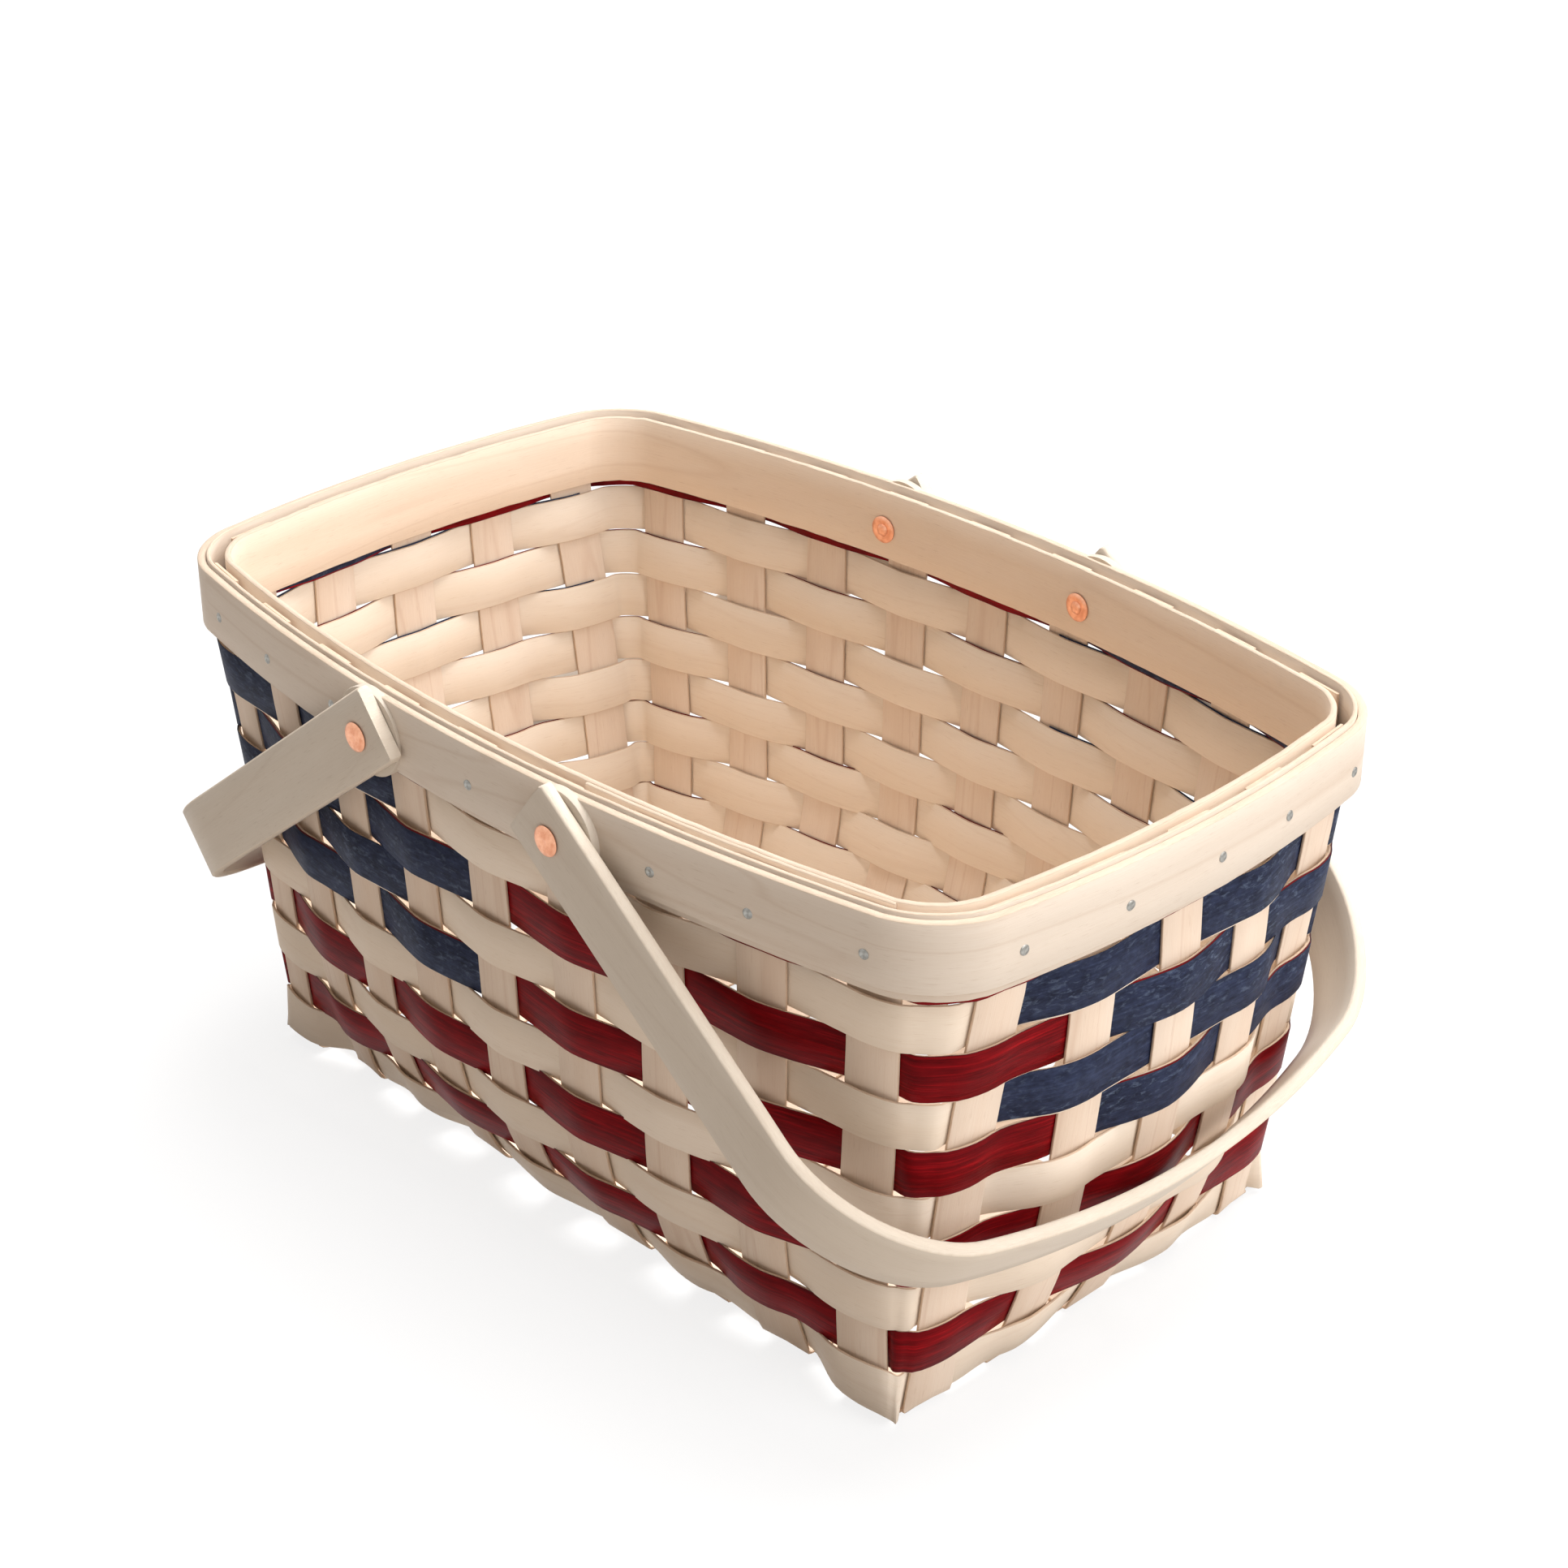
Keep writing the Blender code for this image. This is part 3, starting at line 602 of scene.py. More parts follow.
STAKE_WOOD = WoodFinish("stake_maple", (0.85, 0.735, 0.625), (0.73, 0.56, 0.43),
                        (0.58, 0.38, 0.27), (0.53, 0.36, 0.26), ring_strength=0.26,
                        figure=(4.0, 75.0), roughness=0.58)
SPLINT_WOOD = WoodFinish("splint_maple", (0.89, 0.79, 0.685), (0.79, 0.66, 0.52),
                         (0.66, 0.49, 0.36), (0.60, 0.44, 0.31), ring_strength=0.13)
RIM_WOOD = WoodFinish("rim_maple", (0.76, 0.685, 0.60), (0.665, 0.555, 0.455),
                      (0.52, 0.38, 0.28), (0.47, 0.34, 0.25), figure=(5.0, 48.0),
                      ring_strength=0.24, roughness=0.5)
# Lighter than the outer bands' maple: part of this is painted light, standing in for the warm
# light that bounces round inside the basket.
INNER_BAND_WOOD_WITH_PAINTED_BOUNCE = WoodFinish("inner_band_maple", (0.92, 0.79, 0.66), (0.79, 0.62, 0.47),
                             (0.62, 0.43, 0.30), (0.54, 0.37, 0.25), figure=(5.0, 42.0),
                             ring_strength=0.20, roughness=0.62)
HANDLE_WOOD = WoodFinish("handle_maple", (0.71, 0.645, 0.56), (0.60, 0.52, 0.43),
                         (0.49, 0.39, 0.31), (0.41, 0.33, 0.25), figure=(5.0, 40.0),
                         ring_strength=0.14, roughness=0.5)
SPLINT_EDGE = CutEdgeFinish("splint_cut_edge", (0.80, 0.64, 0.49), (0.56, 0.38, 0.26))
# Darker than the bands' faces: partly the sawn wood's own colour, partly painted shade that holds
# down the top edges, which face the lamps.
RIM_EDGE_WITH_PAINTED_SHADE = CutEdgeFinish("rim_sawn_edge", (0.72, 0.60, 0.48), (0.54, 0.41, 0.30))
HANDLE_EDGE = CutEdgeFinish("handle_sawn_edge", (0.80, 0.72, 0.61), (0.67, 0.56, 0.45))
STAINED = {
    Stain.RED: StainFinish(
        "red_stained_maple", (0.250, 0.003, 0.007), (0.050, 0.001, 0.002),
        (0.520, 0.008, 0.012), (0.30, 0.06, 0.05),
        blotch_grain=Grain(60.0, 420.0, 5.5, 5.0, 0.62, contrast=3.2, share=0.5),
        chalk_grain=Grain(34.0, 620.0, 29.0, 6.0, 0.7, 0.5),
        bright_share=1.0, chalk_share=0.05, chalk_level=0.58, roughness=0.42),
    Stain.BLUE: StainFinish(
        "blue_stained_maple", (0.036, 0.047, 0.098), (0.008, 0.009, 0.018),
        (0.060, 0.082, 0.160), (0.16, 0.21, 0.31),
        blotch_grain=Grain(260.0, 420.0, 5.5, 5.0, 0.62, contrast=3.2, share=0.5),
        chalk_grain=Grain(230.0, 520.0, 29.0, 6.0, 0.7, 0.5),
        bright_share=0.80, chalk_share=0.55, chalk_level=0.52, roughness=0.50),
}
STAIN_EDGE = {
    Stain.RED: CutEdgeFinish("red_strip_edge", (0.12, 0.006, 0.008), (0.04, 0.003, 0.004)),
    Stain.BLUE: CutEdgeFinish("blue_strip_edge", (0.014, 0.018, 0.040), (0.006, 0.008, 0.016)),
}
COPPER = MetalFinish("copper", (0.93, 0.50, 0.32), (0.70, 0.30, 0.17), scratch_scale=2400.0,
                     tarnish_scale=420.0, roughness=0.27, roughness_spread=0.16,
                     relief=0.00012)
GALVANISED = MetalFinish("galvanised_steel", (0.46, 0.45, 0.42), (0.22, 0.21, 0.19),
                         scratch_scale=3000.0, tarnish_scale=700.0, roughness=0.30,
                         roughness_spread=0.25, relief=0.00010)


# Strips of wood


@dataclass(frozen=True)
class Station:
    """One cross-section of a strip."""

    point: Vector
    across: Vector
    normal: Vector
    distance: float
    key: float = 0.0
    inset: float = 0.0


def smooth_between(points: Sequence[Vector], counts: Sequence[int],
                   closed: bool) -> list[tuple[Vector, float]]:
    """Runs a smooth line through points.

    Args:
        points: The points that the line passes.
        counts: How many steps each stretch is cut into.
        closed: Whether the line returns to its start.

    Returns:
        The line's points, each with its place among the given ones.
    """
    total = len(points)
    line: list[tuple[Vector, float]] = []
    for index, count in enumerate(counts):
        ring = [points[(index + step) % total] if closed
                else points[min(max(index + step, 0), total - 1)] for step in (-1, 0, 1, 2)]
        before, start, end, after = ring
        span = max((end - start).length, SHORTEST_SPAN)
        lead = max((start - before).length, span * SLOPE_REACH_SHARE)
        tail = max((after - end).length, span * SLOPE_REACH_SHARE)
        start_slope = ((end - start) / span + (start - before) / lead) / 2
        end_slope = ((after - end) / tail + (end - start) / span) / 2
        if not closed and index == 0:
            start_slope = (end - start) / span
        if not closed and index == total - 2:
            end_slope = (end - start) / span
        for step in range(count):
            t = step / count
            line.append((start * (2 * t ** 3 - 3 * t ** 2 + 1)
                         + start_slope * span * (t ** 3 - 2 * t ** 2 + t)
                         + end * (3 * t ** 2 - 2 * t ** 3)
                         + end_slope * span * (t ** 3 - t ** 2), index + t))
    if not closed:
        line.append((points[-1].copy(), float(total - 1)))
    return line


def distances_along(points: Sequence[Vector]) -> list[float]:
    """Measures a line.

    Args:
        points: Its points.

    Returns:
        The length of line before each point.
    """
    distances = [0.0]
    for before, after in zip(points, points[1:]):
        distances.append(distances[-1] + (after - before).length)
    return distances


def directions_along(points: Sequence[Vector], closed: bool) -> list[Vector]:
    """Finds which way a line runs.

    Args:
        points: Its points.
        closed: Whether it ends where it starts.

    Returns:
        Its direction at each point.
    """
    before, after = ((points[-1], points[0]) if closed else (points[0], points[-1]))
    ring = [before, *points, after]
    return [(ahead - behind).normalized() for behind, ahead in zip(ring, ring[2:])]


def stations_between(low: Sequence[Vector], high: Sequence[Vector], closed: bool,
                     step: float) -> list[Station]:
    """Cross-sections of a strip that runs between two edge lines.

    Args:
        low: Points of one edge.
        high: Points of the other edge.
        closed: Whether the strip is a hoop.
        step: Distance between cross-sections.

    Returns:
        The strip's cross-sections, in order.
    """
    total = len(low)
    stretches = total if closed else total - 1
    counts = []
    for index in range(stretches):
        following = (index + 1) % total
        length = ((low[following] + high[following]) - (low[index] + high[index])).length / 2
        counts.append(max(2, round(length / step)))
    low_line = smooth_between(low, counts, closed)
    high_line = smooth_between(high, counts, closed)
    middles = [(first + second) / 2 for (first, _), (second, _) in zip(low_line, high_line)]
    edges = zip(low_line, high_line)
    stations = []
    for ((first, key), (second, _)), middle, direction, distance in zip(
            edges, middles, directions_along(middles, closed), distances_along(middles)):
        across = (second - first).normalized()
        normal = direction.cross(across).normalized()
        stations.append(Station(middle, across, normal, distance, key))
    return stations


@dataclass(frozen=True)
class Strip:
    """A flat strip of wood with eased, slightly uneven edges."""

    width: float
    thickness: float
    ease: float = 0.00018
    face_cuts: int = 2
    waver: float = 0.00012
    waver_per_metre: float = 90.0
    second_edge_layer: float = 7.0
    edge_reach: float = 1.5
    grain_shift: float = 0.1

    def section(self) -> list[tuple[float, float]]:
        """Rounds the strip's cross-section.

        Returns:
            Its points, across and out from its middle.
        """
        half, deep, ease = self.width / 2, self.thickness / 2, self.ease
        face = [blend(ease - half, half - ease, cut / self.face_cuts)
                for cut in range(self.face_cuts + 1)]
        outer = [(a, deep) for a in face]
        inner = [(a, -deep) for a in reversed(face)]
        return (outer + [(half, deep - ease), (half, ease - deep)]
                + inner + [(-half, ease - deep), (-half, deep - ease)])

    def object(self, name: str, stations: Sequence[Station], closed: bool, seed: float,
               materials: Sequence[bpy.types.Material]) -> bpy.types.Object:
        """Builds the strip.

        Args:
            name: The piece's name.
            stations: Its cross-sections.
            closed: Whether it is a hoop.
            seed: Sets its edges and its grain apart from other strips'.
            materials: The faces' material and the edges' material.

        Returns:
            The new object.
        """
        section = self.section()
        size = len(section)
        half = self.width / 2
        verts: list[Vector] = []
        for station in stations:
            along = station.distance * self.waver_per_metre
            low = self.waver * noise.noise(Vector((along, seed, 0.0)))
            high = self.waver * noise.noise(Vector((along, seed, self.second_edge_layer)))
            narrowed = 1 - station.inset / half
            for across, out in section:
                moved = across * narrowed + blend(low, high, (across + half) / self.width)
                verts.append(station.point + station.across * moved + station.normal * out)
        faces: list[tuple[int, ...]] = []
        kinds: list[int] = []
        corners: list[tuple[float, float]] = []
        count = len(stations)
        spans = count if closed else count - 1
        seam = stations[-1].distance + (stations[0].point - stations[-1].point).length
        for index in range(spans):
            here, there = index * size, (index + 1) % count * size
            start = stations[index].distance + seed
            end = (stations[index + 1].distance if index + 1 < count else seam) + seed
            for point in range(size):
                after = (point + 1) % size
                faces.append((here + point, there + point, there + after, here + after))
                first, second = section[point], section[after]
                edge = min(abs(first[0]), abs(second[0])) > half - self.ease * self.edge_reach
                kinds.append(1 if edge else 0)
                shift = seed * self.grain_shift
                low_v = first[0] + (first[1] if edge else 0.0) + shift
                high_v = second[0] + (second[1] if edge else 0.0) + shift
                corners += [(start, low_v), (end, low_v), (end, high_v), (start, high_v)]
        if not closed:
            for base, order in ((0, range(size)), ((count - 1) * size, reversed(range(size)))):
                ring = list(order)
                faces.append(tuple(base + point for point in ring))
                kinds.append(1)
                corners += [(section[point][1] + seed, section[point][0]) for point in ring]
        mesh = bpy.data.meshes.new(name)
        mesh.from_pydata([tuple(vert) for vert in verts], [], faces)
        for material in materials:
            mesh.materials.append(material)
        mesh.polygons.foreach_set("material_index", kinds)
        layer = mesh.uv_layers.new(name=GRAIN_MAP)
        layer.uv.foreach_set("vector", [value for pair in corners for value in pair])
        shape = bmesh.new()
        shape.from_mesh(mesh)
        bmesh.ops.recalc_face_normals(shape, faces=shape.faces)
        shape.to_mesh(mesh)
        shape.free()
        mesh.shade_smooth()
        mesh.set_sharp_from_angle(angle=WOOD_SHADING_ANGLE)
        return place_in_scene(name, mesh)


def turned(name: str, profile: Sequence[tuple[float, float]], segments: int,
           material: bpy.types.Material, wobble: float = 0.0, seed: float = 0.0
           ) -> bpy.types.Object:
    """Turns a profile about the Z axis.

    Args:
        name: The piece's name.
        profile: Radius and height of its points, from the axis at the top to the bottom.
        segments: Steps in the turn.
        material: The piece's material.
        wobble: How far a hammered surface moves up and down.
        seed: Sets one hammered surface apart from another.

    Returns:
        The new object.
    """
    shape = bmesh.new()
    rings: list[list[bmesh.types.BMVert]] = []
    for radius, height in profile:
        count = 1 if radius == 0 else segments
        ring = []
        for index in range(count):
            angle = 2 * math.pi * index / segments
            x, y = radius * math.cos(angle), radius * math.sin(angle)
            mark = Vector((x * HAMMER_MARKS_PER_METRE, y * HAMMER_MARKS_PER_METRE, seed))
            lift = wobble * noise.noise(mark)
            ring.append(shape.verts.new((x, y, height + lift)))
        rings.append(ring)
    for upper, lower in zip(rings, rings[1:]):
        for index in range(segments):
            after = (index + 1) % segments
            corners = [upper[index % len(upper)], lower[index % len(lower)],
                       lower[after % len(lower)], upper[after % len(upper)]]
            unique = list(dict.fromkeys(corners))
            if len(unique) > 2:
                shape.faces.new(unique)
    if len(rings[0]) > 1:
        shape.faces.new(rings[0])
    if len(rings[-1]) > 1:
        shape.faces.new(list(reversed(rings[-1])))
    bmesh.ops.recalc_face_normals(shape, faces=shape.faces)
    mesh = mesh_from(shape, name)
    mesh.materials.append(material)
    mesh.shade_smooth()
    mesh.set_sharp_from_angle(angle=METAL_SHADING_ANGLE)
    return place_in_scene(name, mesh)


def settle(piece: bpy.types.Object, body: str, slot: str | None = None,
           nodes: Sequence[str] = ()) -> None:
    """Makes a piece ride on its body and stand for its solids.

    Args:
        piece: The piece, in place.
        body: The body that it moves with.
        slot: The record's material slot that matches the piece; not used.
        nodes: The solids that it stands for.
    """
    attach(piece, body)
    if nodes:
        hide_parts(*nodes)
    LOG.info("%s rides on %s, %d faces", piece.name, body, len(piece.data.polygons))


def facing(piece: bpy.types.Object, place: Vector, direction: Vector) -> None:
    """Puts a turned piece at a place with its axis along a direction."""
    piece.matrix_world = (Matrix.Translation(place)
                          @ direction.to_track_quat("Z", "Y").to_matrix().to_4x4())


# The woven body


PlaceRule = Callable[[int, float], float]


@dataclass(frozen=True)
class WeavePlan:
    """The curved surface through the middle of the stakes, and where each stake stands on it."""

    stake_width: float = 0.019
    stake_thickness: float = 0.0010
    weaver_thickness: float = 0.0009
    gap: float = 0.0003
    stake_edge_clearance: float = 0.0008
    float_bulge: float = 0.0012
    inner_bulge: float = 0.0007
    long_stakes: int = 9
    short_stakes: int = 5
    row_count: int = 10
    row_pitch: float = 0.0184
    row_spacing: float = 0.0004
    first_row_clearance: float = 0.0009
    rows_below_rim: int = 9
    level_rows: tuple[int, ...] = (0, 1, 2, 3, 4, 6, 8, 9)
    row_foot: float = 0.0026
    rim_rise: float = 0.0306
    base_half_length: float = 0.1630
    base_half_width: float = 0.0940
    end_flare: float = 0.0197
    side_flare: float = 0.0055
    top_end_bow: float = 0.0095
    base_end_bow: float = 0.0070
    end_belly: float = 0.0120
    top_side_bow: float = 0.0207
    base_side_bow: float = 0.0185
    side_belly: float = 0.0010
    side_tuck: float = 0.0165
    end_tuck: float = 0.0075
    tuck_rows: float = 3.7
    side_lift: float = 0.0080
    lift_rows: float = 4.6
    corner_sag: float = 0.0005
    top_long_margin: float = 0.0112
    base_long_margin: float = 0.0030
    top_short_margin: float = 0.0140
    base_short_margin: float = 0.0067
    top_corner_tension: float = 0.40
    base_corner_tension: float = 0.80
    stake_top_drop: float = 0.0010

    @property
    def rim_foot(self) -> float:
        """Height of the top of the last full row."""
        return self.row_foot + self.rows_below_rim * self.row_pitch

    @property
    def rim_height(self) -> float:
        """Height of the outer rim band's top."""
        return self.rim_foot + self.rim_rise

    @property
    def stake_top(self) -> float:
        """Height of the stakes' cut tops."""
        return self.rim_height - self.stake_top_drop

    @property
    def reach(self) -> float:
        """Distance from a stake's middle to where a weaver leaves it."""
        return self.stake_width / 2 + self.stake_edge_clearance

    @property
    def offset(self) -> float:
        """Distance of a weaver's middle from the weave surface."""
        return self.stake_thickness / 2 + self.gap + self.weaver_thickness / 2

    @property
    def half_depth(self) -> float:
        """Distance of a weaver's outer face from the weave surface."""
        return self.offset + self.weaver_thickness / 2

    @property
    def top_half_length(self) -> float:
        """Half length of the weave surface at the rim's corners."""
        return self.base_half_length + self.end_flare

    @property
    def top_half_width(self) -> float:
        """Half width of the weave surface at the rim's corners."""
        return self.base_half_width + self.side_flare

    def levels(self) -> list[float]:
        """Heights at which the walls bend."""
        return [self.row_foot + row * self.row_pitch for row in self.level_rows] + [
            self.stake_top]

    def share(self, height: float) -> float:
        """Height as a share of the tapered part of the wall."""
        share = (height - self.row_foot) / (self.rim_foot - self.row_foot)
        return min(max(share, 0.0), 1.0)

    def level_value(self, rule: Callable[[float], float], height: float) -> float:
        """Reads a rule that runs straight between the wall levels.

        Args:
            rule: A value for each share of the tapered wall's height.
            height: The height that is asked for.

        Returns:
            The value.
        """
        levels = self.levels()
        for low, high in zip(levels, levels[1:]):
            if height <= high:
                share = min(max((height - low) / (high - low), 0.0), 1.0)
                return blend(rule(self.share(low)), rule(self.share(high)), share)
        return rule(self.share(levels[-1]))

    def half_length(self, height: float) -> float:
        """Half length of the weave surface at its corners."""
        return self.level_value(
            lambda share: self.base_half_length + self.end_flare * share ** 2, height)

    def half_width(self, height: float) -> float:
        """Half width of the weave surface at its corners."""
        return self.level_value(
            lambda share: self.base_half_width + self.side_flare * share ** 2, height)

    def fading(self, share: float, rows: float) -> float:
        """1 at the base, falling evenly to nothing at the given row."""
        return max(1 - share * self.rows_below_rim / rows, 0.0)

    def tuck(self, foot_tuck: float, height: float) -> float:
        """How far a wall is turned in at its middle."""
        return self.level_value(
            lambda share: foot_tuck * self.fading(share, self.tuck_rows) ** 2, height)

    def lift(self, height: float) -> float:
        """How far a long side is raised at its middle."""
        return self.level_value(
            lambda share: self.side_lift * self.fading(share, self.lift_rows), height)

    def sag(self, height: float) -> float:
        """Lets the rows drop at the corners.

        Args:
            height: Height above the floor.

        Returns:
            How far they drop.
        """
        return self.level_value(
            lambda share: self.corner_sag * 4 * math.sqrt(share) * (1 - math.sqrt(share)),
            height)

    def base_lift(self, x: float, y: float) -> float:
        """Raises the base off the floor.

        Args:
            x: X of a point of its plan.
            y: Y of that point.

        Returns:
            How far it is raised there.
        """
        along = min(abs(x) / self.base_half_length, 1.0)
        across = min(abs(y) / self.base_half_width, 1.0)
        return self.side_lift * (1 - along ** 2) * across ** 4

    def bow(self, base: float, top: float, belly: float, height: float) -> float:
        """Outward bow of a wall at its middle."""
        return self.level_value(
            lambda share: blend(base, top, share) + belly * 4 * share * (1 - share), height)

    def end_bow(self, height: float) -> float:
        """Outward bow of a short side at its middle."""
        return self.bow(self.base_end_bow, self.top_end_bow, self.end_belly, height)

    def side_bow(self, height: float) -> float:
        """Outward bow of a long side at its middle."""
        return self.bow(self.base_side_bow, self.top_side_bow, self.side_belly, height)

    def margin(self, base: float, top: float, height: float) -> float:
        """Distance from the last stake's edge to the corner of the plan."""
        return self.level_value(lambda share: blend(base, top, share ** 3), height)

    def spread(self, index: int, count: int, reach: float) -> float:
        """Place of a stake's middle where the outermost stakes' edges are at a reach."""
        return (reach - self.stake_width / 2) * (2 * index / (count - 1) - 1)

    def long_place(self, index: int, height: float) -> float:
        """X of a cross stake's middle, index 0 at the -X end."""
        margin = self.margin(self.base_long_margin, self.top_long_margin, height)
        return self.spread(index, self.long_stakes, self.half_length(height) - margin)

    def short_place(self, index: int, height: float) -> float:
        """Y of a long stake's middle, index 0 at the -Y side."""
        margin = self.margin(self.base_short_margin, self.top_short_margin, height)
        return self.spread(index, self.short_stakes, self.half_width(height) - margin)

    def wall(self, side: WallSide, along: float, height: float,
             outset: float = 0.0) -> tuple[Vector, Vector, Vector]:
        """Point, tangent and outward direction on a wall.

        Args:
            side: The wall.
            along: Distance from the wall's middle.
            height: Height above the floor.
            outset: Distance outside the weave surface.

        Returns:
            The point, the anticlockwise tangent and the outward direction.
        """
        if side in OPPOSITE:
            point, tangent, outward = self.wall(OPPOSITE[side], -along, height, outset)
            return Vector((-point.x, -point.y, point.z)), -tangent, -outward
        if side is WallSide.FRONT:
            bow, span = self.side_bow(height), self.half_length(height)
            share = along / span
            turned_in = self.tuck(self.side_tuck, height) * (1 - abs(share) ** 3)
            y = -(self.half_width(height) + outset + bow * (1 - share ** 2) - turned_in)
            raised = self.lift(height) * (1 - share ** 2) - self.sag(height) * share ** 2
            tangent = Vector((1.0, 2 * bow * share / span, 0.0)).normalized()
            point = Vector((along, y, height + raised))
        else:
            bow, span = self.end_bow(height), self.half_width(height)
            share = along / span
            turned_in = self.tuck(self.end_tuck, height) * (1 - share ** 2)
            x = self.half_length(height) + outset + bow * (1 - share ** 2) - turned_in
            tangent = Vector((-2 * bow * share / span, 1.0, 0.0)).normalized()
            point = Vector((x, along, height - self.sag(height)))
        return point, tangent, Vector((tangent.y, -tangent.x, 0.0))

    def stake(self, side: WallSide, rule: PlaceRule, index: int,
              height: float) -> tuple[Vector, Vector, Vector]:
        """Stands a stake on a wall, with one facing all the way up.

        Args:
            side: The wall.
            rule: Where the stakes stand along it.
            index: Which stake it is.
            height: Height above the floor.

        Returns:
            Its middle, the anticlockwise tangent and the outward direction.
        """
        middle, _, _ = self.wall(side, rule(index, height), height)
        _, tangent, outward = self.wall(side, rule(index, self.stake_top), self.stake_top)
        return middle, tangent, outward

    def row_edges(self, row: int) -> tuple[float, float]:
        """Finds a row's height.

        Args:
            row: The row, 1 at the base.

        Returns:
            Heights of its lower and its upper edge.
        """
        clearance = self.first_row_clearance if row == 1 else self.row_spacing / 2
        foot = self.row_foot + (row - 1) * self.row_pitch + clearance
        return foot, self.row_foot + row * self.row_pitch - self.row_spacing / 2

    def lean_factor(self, place: tuple[WallSide, PlaceRule, int], row: int) -> float:
        """How much further out a row lies on a leaning stake to stay clear of it.

        Args:
            place: The stake end's wall, place rule and index.
            row: The row, 1 at the base.

        Returns:
            The factor, 1 on an upright stake.
        """
        foot, top = self.row_edges(row)
        low, _, outward = self.stake(*place, foot)
        high, _, _ = self.stake(*place, top)
        rise = high.z - low.z
        return math.hypot((high - low).dot(outward), rise) / rise

    def crossings(self) -> list[tuple[WallSide, PlaceRule, int]]:
        """Lists every stake end.

        Returns:
            Its wall, place rule and index, anticlockwise from the front left corner.
        """
        long_range, short_range = range(self.long_stakes), range(self.short_stakes)
        return ([(WallSide.FRONT, self.long_place, index) for index in long_range]
                + [(WallSide.RIGHT, self.short_place, index) for index in short_range]
                + [(WallSide.BACK, self.long_place, index) for index in reversed(long_range)]
                + [(WallSide.LEFT, self.short_place, index) for index in reversed(short_range)])


@dataclass(frozen=True)
class StainedRun:
    """A stretch of stained face strip on one row, between two stakes it hides behind."""

    stain: Stain
    row: int
    first: int | None = None
    last: int | None = None
    layer: int = 0
    inner: bool = False

    @property
    def name(self) -> str:
        """Names the piece.

        Returns:
            Its name, by stain, row, side and face.
        """
        where = "" if self.first is None else (
            "_left" if self.first >= FRONT_LEFT_STAKE else "_right")
        face = "_inner" if self.inner else ""
        return f"{self.stain.value}_strip_{self.row:02d}{where}{face}"


